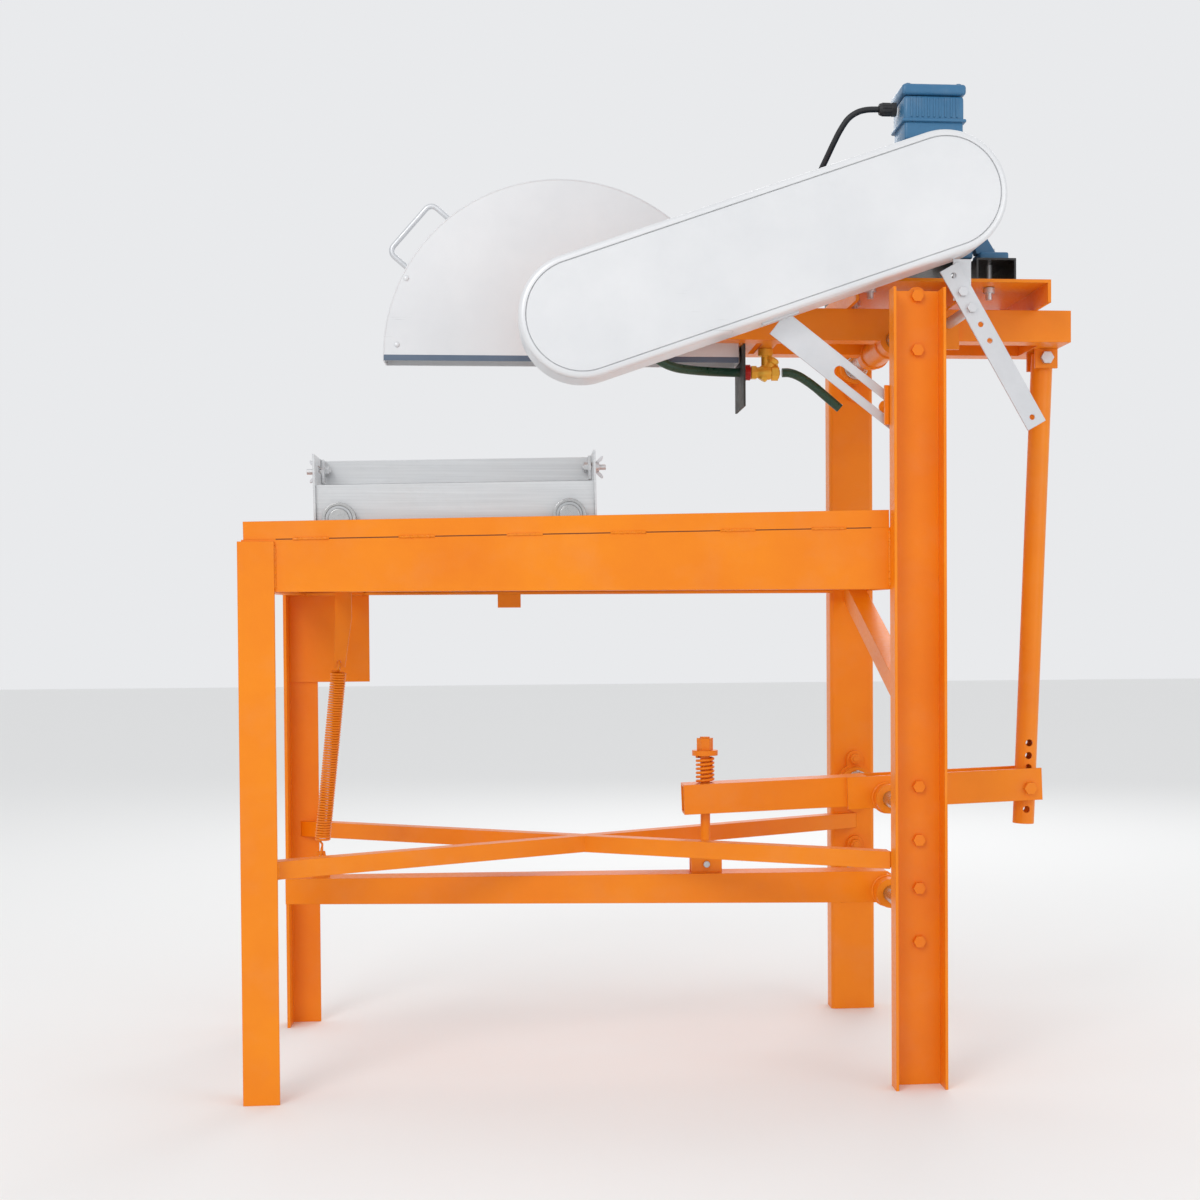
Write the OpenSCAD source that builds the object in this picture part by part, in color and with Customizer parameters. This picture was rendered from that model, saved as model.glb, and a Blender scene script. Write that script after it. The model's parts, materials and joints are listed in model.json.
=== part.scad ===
// Foot-operated masonry saw: welded angle-iron stand, rolling cart, and a tilting
// saw head pulled down by a pedal, a rocking lever and a push link.
// Working frame of the modules: x from the front face of the legs, y from the
// mid-plane (near side negative), z from the floor. All lengths in millimetres.

/* [Overall] */
// Length from the front of the legs to the rear end of the saw head
overall_l = 1228; // [1150:1:1480]
// Width over the outer faces of the legs
frame_w = 545; // [450:1:660]
// Height of the four-sided stand at the legs
leg_h = 782; // [650:1:940]
// Height of the two rear columns
column_h = 1137; // [1100:1:1370]

/* [Stand] */
// Side of the leg angle
leg_w = 50; // [40:1:60]
// Wall of the leg angle
leg_t = 5; // [3:0.5:8]
// Width of the column channel, along the machine
column_w = 75; // [70:1:90]
// Depth of the column channel, across the machine
column_d = 40; // [30:1:50]
// Wall of the column channel and of the beams
column_t = 4; // [3:0.5:6]
// How far the column flanges stand outside the legs
column_overhang = 27.5; // [20:0.5:32]
// Depth of the side beams at the front
beam_h = 72; // [60:1:90]
// Width of the beam flanges
beam_flange = 35; // [25:1:45]
// Rise of the track from front to rear
track_rise = 16; // [8:0.5:24]
// Side of the track angle and of the cross braces
angle_w = 25; // [20:1:30]
// Wall of the track angle and of the cross braces
angle_t = 3; // [2:0.5:4]
// Height of the underside of the cross braces above the floor
brace_z = 311; // [300:1:330]

/* [Pivots] */
// Diameter of the three pivot shafts
shaft_d = 25; // [20:1:30]
// Radial running clearance of shafts and pins
fit = 0.05; // [0.02:0.01:0.1]
// Distance between the two bolts of a flange bearing
bearing_pitch = 77; // [74:1:90]
// Thread size of the bearing bolts
bolt_d = 10; // [8:1:12]
// Height of the lever shaft
lever_z = 391; // [380:1:400]
// Height of the pedal shaft
pedal_z = 245; // [235:1:250]

/* [Saw head] */
// Width of an arm tube
arm_w = 40; // [30:1:50]
// Height of an arm tube
arm_h = 48; // [44:1:60]
// Wall of an arm tube
arm_t = 3; // [2:0.5:4]
// Clear width between the two arms
arm_gap = 116; // [110:1:140]
// Distance from the head pivot forward to the arbor
arbor_reach = 484; // [440:1:520]
// Diameter of the arbor
arbor_d = 25; // [20:1:30]
// Outer diameter of the arbor housings
housing_d = 62; // [56:1:70]
// Diameter of the blade clamping flanges
flange_d = 90; // [80:1:110]

/* [Guards] */
// Radius of the half-round blade guard
blade_guard_r = 271; // [230:1:290]
// Width of the blade guard
blade_guard_w = 60; // [50:1:68]
// Radius of the ends of the belt guard
belt_guard_r = 88; // [82:1:100]
// Depth of the belt guard
belt_guard_d = 80; // [70:1:90]
// Bevel round the face of the belt guard
belt_guard_bevel = 9; // [4:0.5:14]
// Sheet metal thickness of both guards
sheet_t = 2; // [1.5:0.5:3]
// Diameter of the guard handle rod
handle_d = 8.5; // [6:0.5:12]

/* [Motor] */
// Radius of the motor over its fins
motor_r = 88; // [76:1:92]
// Length of the motor body without its fan cover
motor_l = 222; // [180:1:240]
// Height of the motor axis above the motor rails
motor_lift = 89; // [88:1:100]
// Diameter of the motor shaft
motor_shaft_d = 24; // [19:1:28]
// Diameter of the motor pulley
motor_pulley_d = 100; // [80:1:130]
// Diameter of the arbor pulley
arbor_pulley_d = 90; // [80:1:110]

/* [Linkage] */
// Side of the pedal and lever tubes across the machine
tube_w = 50; // [40:1:56]
// Height of the lever tube
lever_h = 46; // [40:1:50]
// Wall of the pedal and lever tubes
tube_t = 3; // [2:0.5:4]
// Diameter of the pull rod
rod_d = 15; // [12:1:18]
// Distance from the shafts forward to the pull rod
rod_reach = 282; // [260:1:300]
// Outer diameter of the push link
link_d = 33.7; // [30:0.1:38]
// Outer diameter of the return spring
spring_d = 24; // [20:1:28]

/* [Cart] */
// Distance between the outer faces of the cart's end plates
cart_l = 394; // [350:1:440]
// Distance from the start of the track to the cart
cart_start = 98; // [90:1:140]
// Height of the deck above the side beams
deck_z = 75; // [70:1:90]
// Height of the end plates above the side beams
end_plate_z = 118; // [112:1:122]
// Sheet thickness of deck and end plates
deck_t = 3; // [2:0.5:5]
// Outer diameter of a cart roller
roller_d = 47; // [42:1:52]
// Width of a cart roller
roller_w = 14; // [10:1:16]
// Height of the fence bar
fence_h = 34; // [28:1:36]
// Distance of the fence bar from the blade plane
fence_y = 165; // [100:1:190]

/* [Hidden] */
$fn = 48;
orange = "#f07f1a";
steel = "#b9bcc0";
paint = "#e9eaec";
blue = "#3f5f8c";
black = "#222426";
brass = "#c9a24a";
rubber = "#3b3b3d";

half_w = frame_w / 2;
tip_y = half_w + column_overhang;
web_y = tip_y - column_d;               // inner face of a column web
column_x = overall_l - 315;
pivot_x = column_x + 41;
head_z = column_h - 46;
beam_y = half_w - leg_t;                // outer face of a side beam
beam_z = leg_h - beam_h + 2.4;          // underside of the side beams
beam_top = beam_z + beam_h;             // top of the side beams at the front
track_l = column_x - leg_t;
track_slope = atan(track_rise / track_l);
touch = 0.3;                            // gap between faces of different bodies

// Saw head, measured from the head pivot
arm_z0 = -1;
arm_z1 = arm_z0 + arm_h;
arm_y = arm_gap / 2;
head_l = overall_l - pivot_x;
arbor = [-arbor_reach, 13];
guard_c = [arbor[0] - 15, arbor[1] - 34];
guard_rim = guard_c[1] - 6;
guard_half = blade_guard_w / 2;
belt_front = -(tip_y - 7);              // face of the belt guard
belt_back = belt_front + belt_guard_d;
belt_lo = [arbor[0] + 6, arbor[1] - 10];
belt_hi = [38, 182];
belt_run = belt_hi - belt_lo;
belt_len = norm(belt_run);
belt_tilt = atan2(belt_run[1], belt_run[0]);
handle_at = 139;                        // its place round the guard, degrees from +x
handle_half = 49.3;
handle_z = blade_guard_r + 34.7;
handle_bend = 12;
pulley_y = belt_front + 25;
pulley_w = 44;
belt_count = 3;
belt_pitch = 14;
belt_w = 10;
belt_deep = 8;
stay_y = -(web_y - 13.5);               // outer face of the two guard brackets
stay_t = 3;
stay_w = 40;
stay_start = [-197.2, 2.2];
stay_tilt = 38;
stay_l = 232;
stay_slot = [112, 216];
strap_w = 30;
strap_top = [70.5, 48.6];
strap_tilt = 60.4;
strap_holes = [0, 26.7, 53.4, 80.1, 107, 233];
strap_bolt = 53.4;
strap_end = 14;
plate_top = 81;
plate_x = [-72, 222];
plate_y = [-172, 112];
plate_t = 5;
rail_h = 31;
rail_x = [-42, 139];
motor_c = [48, plate_top + rail_h + motor_lift + 1];
motor_front = -172;
motor_back = motor_front + motor_l;
fan_l = 60;
box_x = [0, 96];
box_y = [-167, -77];
box_z = [motor_c[1] + motor_r - 4, motor_c[1] + motor_r + 80];
gland_z = box_z[1] - 30;
gland_y = (box_y[0] + box_y[1]) / 2;
switch_x = [-344, -264];
switch_y = [48, 108];
switch_z = [arm_z1, arm_z1 + 90];
flap_x = -225;
valve_x = -184;
valve_z = -38;

// Linkage
link_top = [256, -15];                  // from the head pivot
link_low = [227, 11];                   // from the lever shaft
link_a = [pivot_x + link_top[0], head_z + link_top[1]];
link_b = [pivot_x + link_low[0], lever_z + link_low[1]];
link_l = norm(link_a - link_b);
link_tilt = atan2(link_a[0] - link_b[0], link_a[1] - link_b[1]);
link_pin_d = 12;
lever_tilt = 2;
lever_off = 11;                         // tube centre above the shaft centre
lever_front = -317;
cheek_t = 6;
rod_pin_z = 45;                         // from the pedal shaft
rod_pin_d = 10;
rod_top = pedal_z + 242;
lever_top_z = lever_z + lever_off + lever_h / 2 - rod_reach * tan(lever_tilt);
coil_z = [lever_top_z + 0.9, pedal_z + 213];
pedal_front = -924;
pedal_lug_x = -873;
hub_d = 45;
hook_top = [112, beam_z - 103.5];       // spring eye in the hanger
hook_low = [pivot_x + pedal_lug_x, pedal_z + 66];
hook_r = 7;
wire_d = 4;
hook_l = norm(hook_top - hook_low);
hook_tilt = atan2(hook_top[0] - hook_low[0], hook_top[1] - hook_low[1]);

// Cart, measured along the tilted track
side_y = beam_y - 21.5;                 // outer face of the cart's side plates
skirt_z = angle_t + 3;
roller_u = [cart_start + 35, cart_start + cart_l - 39];
roller_z = angle_t + roller_d / 2;
axle_d = 20;
blade_slot = 14;
fence_bolt_z = 101;
fence_bolt_d = 8;
fence_bolt_y = -(fence_y - 15);
fence_t = 5;

// Routes of the free cable and hoses, from the head pivot
motor_cable_d = 9;
motor_cable_pts = [[-12, -122, 340], [-30, -122, 340], [-46, -122, 339], [-60, -121, 335], [-73, -118, 326],
    [-84, -112, 310], [-93, -103, 292], [-102, -91, 272], [-112, -76, 250], [-122, -59, 228],
    [-133, -40, 205], [-144, -20, 182], [-155, 0, 160], [-166, 19, 140], [-178, 37, 122],
    [-191, 53, 107], [-206, 66, 97], [-222, 74, 94],
    [-240, 78, 97], [-258, 78, 97]];
hose_d = 14;
water_hose_pts = [[-220, 0, -38], [-235, 0, -38], [-252, -3, -38], [-271, -9, -38],
    [-290, -18, -38], [-308, -27, -37.5], [-326, -36, -36], [-343, -42, -31], [-358, -44.5, -22],
    [-370, -45, -10], [-379, -45, 7], [-383, -45, 24], [-383, -45, 38]];
hose_tail_pts = [[-158, 0, -38], [-147, 0, -38], [-134, 0, -42], [-120, 0, -50],
    [-106, 0, -60], [-93, 0, -71], [-80, 0, -82], [-67, 0, -93]];
spray_x = -383;
spray_z = 38;

// ---- Shared shapes ------------------------------------------------------------

// A block between two limits on each axis
module slab(x, y, z) {
    translate([x[0], y[0], z[0]])
        cube([x[1] - x[0], y[1] - y[0], z[1] - z[0]]);
}

// A cylinder across the machine, from y0 to y1, centred on [x, z]
module rod_y(c, y, d) {
    translate([c[0], y[1], c[1]])
        rotate([90, 0, 0])
            cylinder(h = y[1] - y[0], d = d);
}

// A cylinder along the machine
module rod_x(x, y, z, d) {
    translate([x[0], y, z])
        rotate([0, 90, 0])
            cylinder(h = x[1] - x[0], d = d);
}

// An upright cylinder
module rod_z(x, y, z, d) {
    translate([x, y, z[0]])
        cylinder(h = z[1] - z[0], d = d);
}

// An outline in the x-z plane, given thickness from y0 to y1
module side_plate_of(outline, y) {
    translate([0, y[1], 0])
        rotate([90, 0, 0])
            linear_extrude(height = y[1] - y[0])
                polygon(outline);
}

// A square-cornered tube along x, open at both ends
module box_tube(x, y, z, t) {
    difference() {
        slab(x, y, z);
        slab([x[0] - 1, x[1] + 1], [y[0] + t, y[1] - t], [z[0] + t, z[1] - t]);
    }
}

// Hexagon across the machine, flats two-thirds of the head apart
module hex_y(c, y, flats) {
    translate([c[0], y[1], c[1]])
        rotate([90, 0, 0])
            cylinder(h = y[1] - y[0], d = flats / cos(30), $fn = 6);
}

module both_sides() {
    children();
    mirror([0, 1, 0])
        children();
}

module from_head() {
    translate([pivot_x, 0, head_z])
        children();
}

module from_lever() {
    translate([pivot_x, 0, lever_z])
        rotate([0, -lever_tilt, 0])
            children();
}

module from_pedal() {
    translate([pivot_x, 0, pedal_z])
        children();
}

// The track frame: x along the rails, z up from the top of the side beams
module on_track() {
    translate([leg_t, 0, beam_top])
        rotate([0, -track_slope, 0])
            children();
}

// Everything is placed so that the middle of the overall length is at x = 0
module datum() {
    translate([-overall_l / 2, 0, 0])
        children();
}

// ---- Stand --------------------------------------------------------------------

module leg() {
    slab([0, leg_w], [-half_w, -half_w + leg_t], [0, leg_h]);
    slab([0, leg_t], [-half_w, -half_w + leg_w], [0, leg_h]);
}

module front_legs() {
    color(orange)
        datum()
            both_sides()
                leg();
}

// Cold-formed channel, open outwards, with round outer corners
module column_profile() {
    r = column_t + 3;
    difference() {
        union() {
            translate([0, -tip_y])
                square([column_w, column_d - r]);
            translate([r, -tip_y])
                square([column_w - 2 * r, column_d]);
            for (x = [r, column_w - r])
                translate([x, -web_y - r])
                    circle(r = r);
        }
        translate([column_t, -tip_y - 1])
            square([column_w - 2 * column_t, column_d - column_t + 1]);
    }
}

module column() {
    difference() {
        translate([column_x, 0, 0])
            linear_extrude(height = column_h)
                column_profile();
        for (z = [head_z, lever_z, pedal_z], s = [-1, 1])
            rod_y([pivot_x, z + s * bearing_pitch / 2], [-tip_y, 0], bolt_d + 2 * fit);
    }
}

module column_near() {
    color(orange)
        datum()
            column();
}

module column_far() {
    color(orange)
        datum()
            mirror([0, 1, 0])
                column();
}

// Folded channel beam whose top edge climbs with the track
module side_beam() {
    x0 = leg_t;
    x1 = column_x;
    in_y = -beam_y + beam_flange;
    z1 = beam_top;
    z2 = beam_top + track_rise;
    side_plate_of([[x0, beam_z], [x1, beam_z], [x1, z2], [x0, z1]],
        [-beam_y, -beam_y + column_t]);
    slab([x0, x1], [-beam_y, in_y], [beam_z, beam_z + column_t]);
    side_plate_of([[x0, z1 - column_t], [x1, z2 - column_t], [x1, z2], [x0, z1]],
        [-beam_y, in_y]);
}

module side_beam_near() {
    color(orange)
        datum()
            side_beam();
}

module side_beam_far() {
    color(orange)
        datum()
            mirror([0, 1, 0])
                side_beam();
}

module track_rails() {
    color(orange)
        datum()
            on_track()
                both_sides() {
                    u = [3, track_l / cos(track_slope) - 1];
                    slab(u, [-beam_y, -beam_y + angle_w], [0, angle_t]);
                    slab(u, [-beam_y, -beam_y + angle_t], [0, angle_w]);
                }
}

// Front channel, the stop angle on it and the bar that carries the spring hanger
module front_cross_beam() {
    in_y = beam_y - column_t;
    x0 = leg_t;
    z1 = beam_top - column_t - 2;
    reach = beam_y - beam_flange;
    bar_x = [100, 130];
    color(orange)
        datum() {
            slab([x0, x0 + column_t], [-reach, reach], [beam_z, beam_top]);
            slab([x0, x0 + 30], [-reach, reach], [beam_z, beam_z + column_t]);
            slab([x0, x0 + 30], [-reach, reach], [beam_top - column_t, beam_top]);
            slab([x0 + 3, x0 + 3 + angle_t], [-reach, reach], [beam_top, beam_top + angle_w]);
            slab(bar_x, [-in_y, in_y], [beam_z + column_t, beam_z + column_t + angle_t]);
            slab([bar_x[0], bar_x[0] + angle_t], [-in_y, in_y],
                [beam_z + column_t, beam_z + column_t + angle_w]);
        }
}

// Folded beam between the column webs, and the slanting brace below it
module rear_cross_members() {
    x0 = column_x + column_w - 18;
    brace_x = [column_x + 24, column_x + 54];
    low_z = leg_h - 237;
    high_z = leg_h - 52;
    tilt = atan((high_z - low_z) / (2 * web_y));
    color(orange)
        datum() {
            slab([x0, x0 + column_t], [-web_y, web_y], [beam_z + 3, beam_top]);
            slab([x0 - 26, x0], [-web_y, web_y], [beam_top - column_t, beam_top]);
            intersection() {
                translate([0, 0, (low_z + high_z) / 2])
                    rotate([tilt, 0, 0]) {
                        slab(brace_x, [-web_y * 2, web_y * 2], [0, angle_t]);
                        slab([brace_x[0], brace_x[0] + angle_t], [-web_y * 2, web_y * 2],
                            [-30, angle_t]);
                    }
                slab(brace_x, [-web_y, web_y], [low_z - 60, beam_top - column_t - 1]);
            }
        }
}

// A level angle bar between two points on plan, flange on top, blade on the near side
module brace_bar(a, b) {
    run = b - a;
    translate([a[0], a[1], brace_z])
        rotate([0, 0, atan2(run[1], run[0])]) {
            slab([-60, norm(run) + 60], [0, angle_w], [angle_w - angle_t, angle_w]);
            slab([-60, norm(run) + 60], [0, angle_t], [0, angle_w]);
        }
}

module cross_braces() {
    a0 = [20, -beam_y];
    a1 = [column_x + 44, web_y];
    b0 = [20, beam_y];
    b1 = [column_x, -beam_y + 6];
    run = a1 - a0;
    color(orange)
        datum() {
            intersection() {
                brace_bar(a0, a1);
                slab([leg_t, overall_l], [-beam_y, web_y], [0, leg_h]);
            }
            difference() {
                intersection() {
                    brace_bar(b0, b1);
                    slab([leg_t, column_x], [-beam_y, beam_y], [0, leg_h]);
                }
                translate([a0[0], a0[1], brace_z])
                    rotate([0, 0, atan2(run[1], run[0])])
                        slab([0, norm(run)], [-0.1, angle_w], [-1, angle_w + 1]);
            }
        }
}

// Gusset below the far side beam, beside the far leg
module side_plate() {
    color(orange)
        datum()
            slab([leg_t, 136], [beam_y - column_t, beam_y], [beam_z - 144, beam_z]);
}

// Spring hanger, small lug under the far beam, and the guide pin of the guard stay
module frame_brackets() {
    top = beam_z + column_t;
    clip_z = [head_z - 144, head_z - 88];
    pin = [pivot_x - 42, head_z - 116];
    color(orange)
        datum() {
            difference() {
                side_plate_of([[106, top], [131, top], [131, top - 40], [120, hook_top[1] - 9],
                    [104, hook_top[1] - 9], [104, hook_top[1] + 12], [106, top - 40]], [-2, 2]);
                rod_y(hook_top, [-3, 3], wire_d + 1.8);
            }
            slab([350, 388], [beam_y - beam_flange, beam_y - beam_flange + column_t],
                [beam_z - 22, beam_z]);
            slab([pivot_x - 47, column_x], [-web_y - 4, -web_y], clip_z);
            slab([column_x, column_x + 20], [-web_y, -web_y + 4], clip_z);
            slab([pivot_x - 47, column_x + 20], [-web_y, -web_y + 4], clip_z);
            rod_y(pin, [-web_y + 4, stay_y + stay_t + 5], 8);
            rod_y(pin, [stay_y + stay_t + 2, stay_y + stay_t + 7], 18);
        }
}

// ---- Pivot bearings -----------------------------------------------------------

// Two-bolt flange bearing on the inner face of the near column web
module flange_bearing(z) {
    c = [pivot_x, z];
    difference() {
        union() {
            rod_y(c, [-web_y, -web_y + 8], 60);
            for (s = [-1, 1])
                rod_y(c + [0, s * bearing_pitch / 2], [-web_y, -web_y + 8], 28);
            slab([pivot_x - 14, pivot_x + 14],
                [-web_y, -web_y + 8], [z - bearing_pitch / 2, z + bearing_pitch / 2]);
            rod_y(c, [-web_y, -web_y + 28], 50);
        }
        rod_y(c, [-web_y - 1, -web_y + 29], shaft_d + 2 * fit);
        for (s = [-1, 1])
            rod_y(c + [0, s * bearing_pitch / 2], [-web_y - 1, -web_y + 9], bolt_d + 2 * fit);
    }
}

module flange_bearings() {
    color(orange)
        datum()
            both_sides()
                for (z = [head_z, lever_z, pedal_z])
                    flange_bearing(z);
}

module bearing_bolts() {
    out_y = -web_y - column_t;
    color(orange)
        datum()
            both_sides()
                for (z = [head_z, lever_z, pedal_z], s = [-1, 1]) {
                    c = [pivot_x, z + s * bearing_pitch / 2];
                    rod_y(c, [out_y, -web_y + 18], bolt_d);
                    hex_y(c, [out_y - 6.5, out_y], 16);
                    hex_y(c, [-web_y + 8, -web_y + 16], 16);
                }
}

// ---- Saw head -----------------------------------------------------------------

// One arm tube with its capped rear end, cut out round the arbor housing
module arm() {
    difference() {
        union() {
            box_tube([arbor[0], head_l - arm_t], [-arm_y - arm_w, -arm_y], [arm_z0, arm_z1], arm_t);
            slab([head_l - arm_t, head_l], [-arm_y - arm_w, -arm_y], [arm_z0, arm_z1]);
        }
        rod_y(arbor, [-arm_y - arm_w - 1, -arm_y + 1], housing_d + 2 * fit);
        rod_y([0, 0], [-arm_y - arm_w - 1, -arm_y + 1], shaft_d + 17);
    }
}

module head_frame() {
    strap_c = strap_top + (strap_bolt - strap_holes[1]) * [cos(strap_tilt), -sin(strap_tilt)];
    lug_y = [-arm_y - arm_w - 6, -arm_y - arm_w];
    color(orange)
        datum()
            from_head()
                difference() {
                    union() {
                        both_sides()
                            arm();
                        rod_y([0, 0], [-arm_y - arm_w, arm_y + arm_w], shaft_d + 17);
                        slab([head_l - arm_w, head_l], [-arm_y, arm_y], [arm_z0, arm_z1]);
                        for (x = [valve_x - 11, flap_x - 2])
                            slab([x, x + 22], [-arm_y, arm_y], [arm_z0, arm_z0 + 3]);
                        for (s = [-1, 1])
                            slab([link_top[0] - 18, head_l],
                                [s * 23 - 3, s * 23 + 3], [link_top[1] - 16, arm_z0]);
                        slab([strap_c[0] - 15, strap_c[0] + 15], lug_y, [-14, 26]);
                    }
                    rod_y([0, 0], [-arm_y - arm_w - 1, arm_y + arm_w + 1], shaft_d + 2 * fit);
                    rod_y(link_top, [-30, 30], link_pin_d + 2 * fit);
                    rod_y(strap_c, [lug_y[0] - 1, lug_y[1] + 1], 8 + 2 * fit);
                }
}

module pivot_shaft() {
    color(steel)
        datum()
            from_head()
                rod_y([0, 0], [-web_y + 4, web_y - 4], shaft_d);
}

// Bearing housings of the arbor: the near one runs out to the belt guard
module arbor_housings() {
    color(orange)
        datum()
            from_head()
                difference() {
                    union() {
                        rod_y(arbor, [belt_back, -guard_half], housing_d);
                        rod_y(arbor, [belt_back, belt_back + 8], housing_d + 26);
                        rod_y(arbor, [guard_half, arm_y + arm_w + 8], housing_d);
                    }
                    rod_y(arbor, [belt_back - 1, arm_y + arm_w + 9], arbor_d + 2 * fit);
                }
}

// Link pivot bolt, strap bolts with their long spacer, and the motor's foot bolts
module head_bolts() {
    along = [cos(strap_tilt), -sin(strap_tilt)];
    strap_c = strap_top + (strap_bolt - strap_holes[1]) * along;
    lug_y = -arm_y - arm_w - 6;
    color(steel)
        datum()
            from_head() {
                rod_y(link_top, [-34, 34], link_pin_d);
                hex_y(link_top, [-34, -26], 18);
                hex_y(link_top, [26, 36], 18);
                rod_y(strap_c, [stay_y, lug_y + 6], 8);
                rod_y(strap_c, [stay_y + stay_t, lug_y], 16);
                hex_y(strap_c, [stay_y - 5.5, stay_y], 13);
                rod_y(strap_top, [stay_y, stay_y + stay_t + 12], 8);
                hex_y(strap_top, [stay_y - 5.5, stay_y], 13);
                hex_y(strap_top, [stay_y + stay_t + 3, stay_y + stay_t + 10], 13);
                for (x = rail_x, y = [motor_front + 45, motor_back - 45]) {
                    rod_z(x, y, [plate_top - 24, plate_top + rail_h + 26], 10);
                    rod_z(x, y, [plate_top + rail_h + 13, plate_top + rail_h + 21], 18);
                    rod_z(x, y, [plate_top - plate_t - 9, plate_top - plate_t - 1], 18);
                }
            }
}

// ---- Belt drive ---------------------------------------------------------------

// Solid with round ends, bevelled on its front face; depth measured from the face
module belt_shape(grow, y0, y1, bevel) {
    r = belt_guard_r + grow;
    profile = [[0, y0], [r - bevel, y0], [r, y0 + bevel], [r, y1], [0, y1]];
    translate([belt_lo[0], 0, belt_lo[1]])
        rotate([0, -belt_tilt, 0]) {
            for (s = [0, belt_len])
                translate([s, 0, 0])
                    rotate([-90, 0, 0])
                        rotate_extrude()
                            polygon(profile);
            rotate([90, 0, 90])
                linear_extrude(height = belt_len)
                    polygon([for (k = [-1, 1], p = k < 0 ? profile : [for (i = [4:-1:0]) profile[i]])
                        [p[1], k * p[0]]]);
        }
}

module belt_guard_cover() {
    color(paint)
        datum()
            from_head()
                difference() {
                    belt_shape(0, belt_front, belt_back, belt_guard_bevel);
                    belt_shape(-sheet_t, belt_front + sheet_t, belt_back + 1,
                        belt_guard_bevel - sheet_t);
                }
}

module belt_guard_back() {
    color(paint)
        datum()
            from_head()
                difference() {
                    belt_shape(-sheet_t, belt_back - sheet_t, belt_back, 0);
                    rod_y(arbor, [belt_back - 9, belt_back + 9], arbor_d + 14);
                    rod_y(motor_c, [belt_back - 9, belt_back + 9], 64);
                }
}

// Grooved pulley on its own axis, seen along the machine's width
module pulley(c, d, bore) {
    w = pulley_w;
    r = d / 2;
    first = (w - (belt_count - 1) * belt_pitch) / 2;
    difference() {
        translate([c[0], pulley_y, c[1]])
            rotate([-90, 0, 0])
                rotate_extrude()
                    polygon(concat([[0, 0], [r, 0]],
                        [for (i = [0:belt_count - 1], k = [[0, -7], [10, -5.6], [10, 5.6], [0, 7]])
                            [r - k[0], first + i * belt_pitch + k[1] * 0.98]],
                        [[r, w], [0, w]]));
        rod_y(c, [pulley_y - 1, pulley_y + w + 1], bore);
    }
}

module arbor_pulley() {
    color(steel)
        datum()
            from_head()
                pulley(arbor, arbor_pulley_d, arbor_d);
}

// Motor pulley with the motor shaft it is keyed to
module motor_pulley() {
    color(steel)
        datum()
            from_head() {
                pulley(motor_c, motor_pulley_d, motor_shaft_d);
                rod_y(motor_c, [pulley_y + 1, motor_front - touch], motor_shaft_d);
            }
}

// Three belts side by side round both pulleys
module v_belts() {
    first = pulley_y + (pulley_w - (belt_count - 1) * belt_pitch) / 2;
    ra = arbor_pulley_d / 2;
    rm = motor_pulley_d / 2;
    color(black)
        datum()
            from_head()
                for (i = [0:belt_count - 1])
                    translate([0, first + i * belt_pitch + belt_w / 2, 0])
                        rotate([90, 0, 0])
                            linear_extrude(height = belt_w)
                                difference() {
                                    hull() {
                                        translate(arbor)
                                            circle(r = ra + 0.5);
                                        translate(motor_c)
                                            circle(r = rm + 0.5);
                                    }
                                    hull() {
                                        translate(arbor)
                                            circle(r = ra + 0.5 - belt_deep);
                                        translate(motor_c)
                                            circle(r = rm + 0.5 - belt_deep);
                                    }
                                }
}

module arbor_shaft() {
    color(steel)
        datum()
            from_head()
                rod_y(arbor, [pulley_y - 4, guard_half + arm_w + 30], arbor_d);
}

// The two clamping flanges and the nut, closed up with no blade between them
module blade_flanges() {
    color(steel)
        datum()
            from_head()
                difference() {
                    union() {
                        rod_y(arbor, [-16, -4], flange_d);
                        rod_y(arbor, [-3.5, 6], flange_d);
                        hex_y(arbor, [6.5, 22], 38);
                    }
                    rod_y(arbor, [-20, 30], arbor_d);
                }
}

// ---- Guards -------------------------------------------------------------------

module guard_disc(r, half) {
    intersection() {
        rod_y(guard_c, [-half, half], 2 * r);
        slab([guard_c[0] - r, guard_c[0] + r], [-half, half], [guard_rim, guard_c[1] + r]);
    }
}

// Half-round sheet guard open below, with a block that takes the water hose
module blade_guard() {
    block_x = [spray_x - 12, spray_x + 12];
    color(paint)
        datum()
            from_head()
                difference() {
                    union() {
                        difference() {
                            guard_disc(blade_guard_r, guard_half);
                            translate([0, 0, -1])
                                guard_disc(blade_guard_r - sheet_t, guard_half - sheet_t);
                            slab([guard_c[0] - 240, guard_c[0] + 240],
                                [-guard_half + sheet_t, guard_half - sheet_t],
                                [guard_rim - 1, guard_rim + 9]);
                        }
                        slab(block_x, [-guard_half - 26, -guard_half], [spray_z, spray_z + 26]);
                    }
                    rod_y(arbor, [-guard_half - 1, guard_half + 1], arbor_d + 12);
                }
}

// Bent rod handle standing on the guard's rim: two radial legs, two bends and a grip
module guard_handle() {
    foot_z = sqrt(pow(blade_guard_r, 2) - pow(handle_half - handle_d / 2, 2)) + touch;
    color(steel)
        datum()
            from_head()
                translate([guard_c[0], 0, guard_c[1]])
                    rotate([0, 90 - handle_at, 0]) {
                        for (s = [-1, 1])
                            rod_z(s * handle_half, 0, [foot_z, handle_z - handle_bend], handle_d);
                        for (m = [0, 1])
                            mirror([m, 0, 0])
                                translate([handle_half - handle_bend, 0, handle_z - handle_bend])
                                    rotate([90, 0, 0])
                                        rotate_extrude(angle = 90)
                                            translate([handle_bend, 0])
                                                circle(d = handle_d);
                        rod_x([handle_bend - handle_half, handle_half - handle_bend], 0,
                            handle_z, handle_d);
                    }
}

// Flat bar in the bracket plane: starts at p and runs down to the rear at an angle
module bracket_bar(p, tilt, len, w) {
    translate([p[0], stay_y, p[1]])
        rotate([0, tilt, 0])
            slab([0, len], [0, stay_t], [-w / 2, w / 2]);
}

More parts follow.
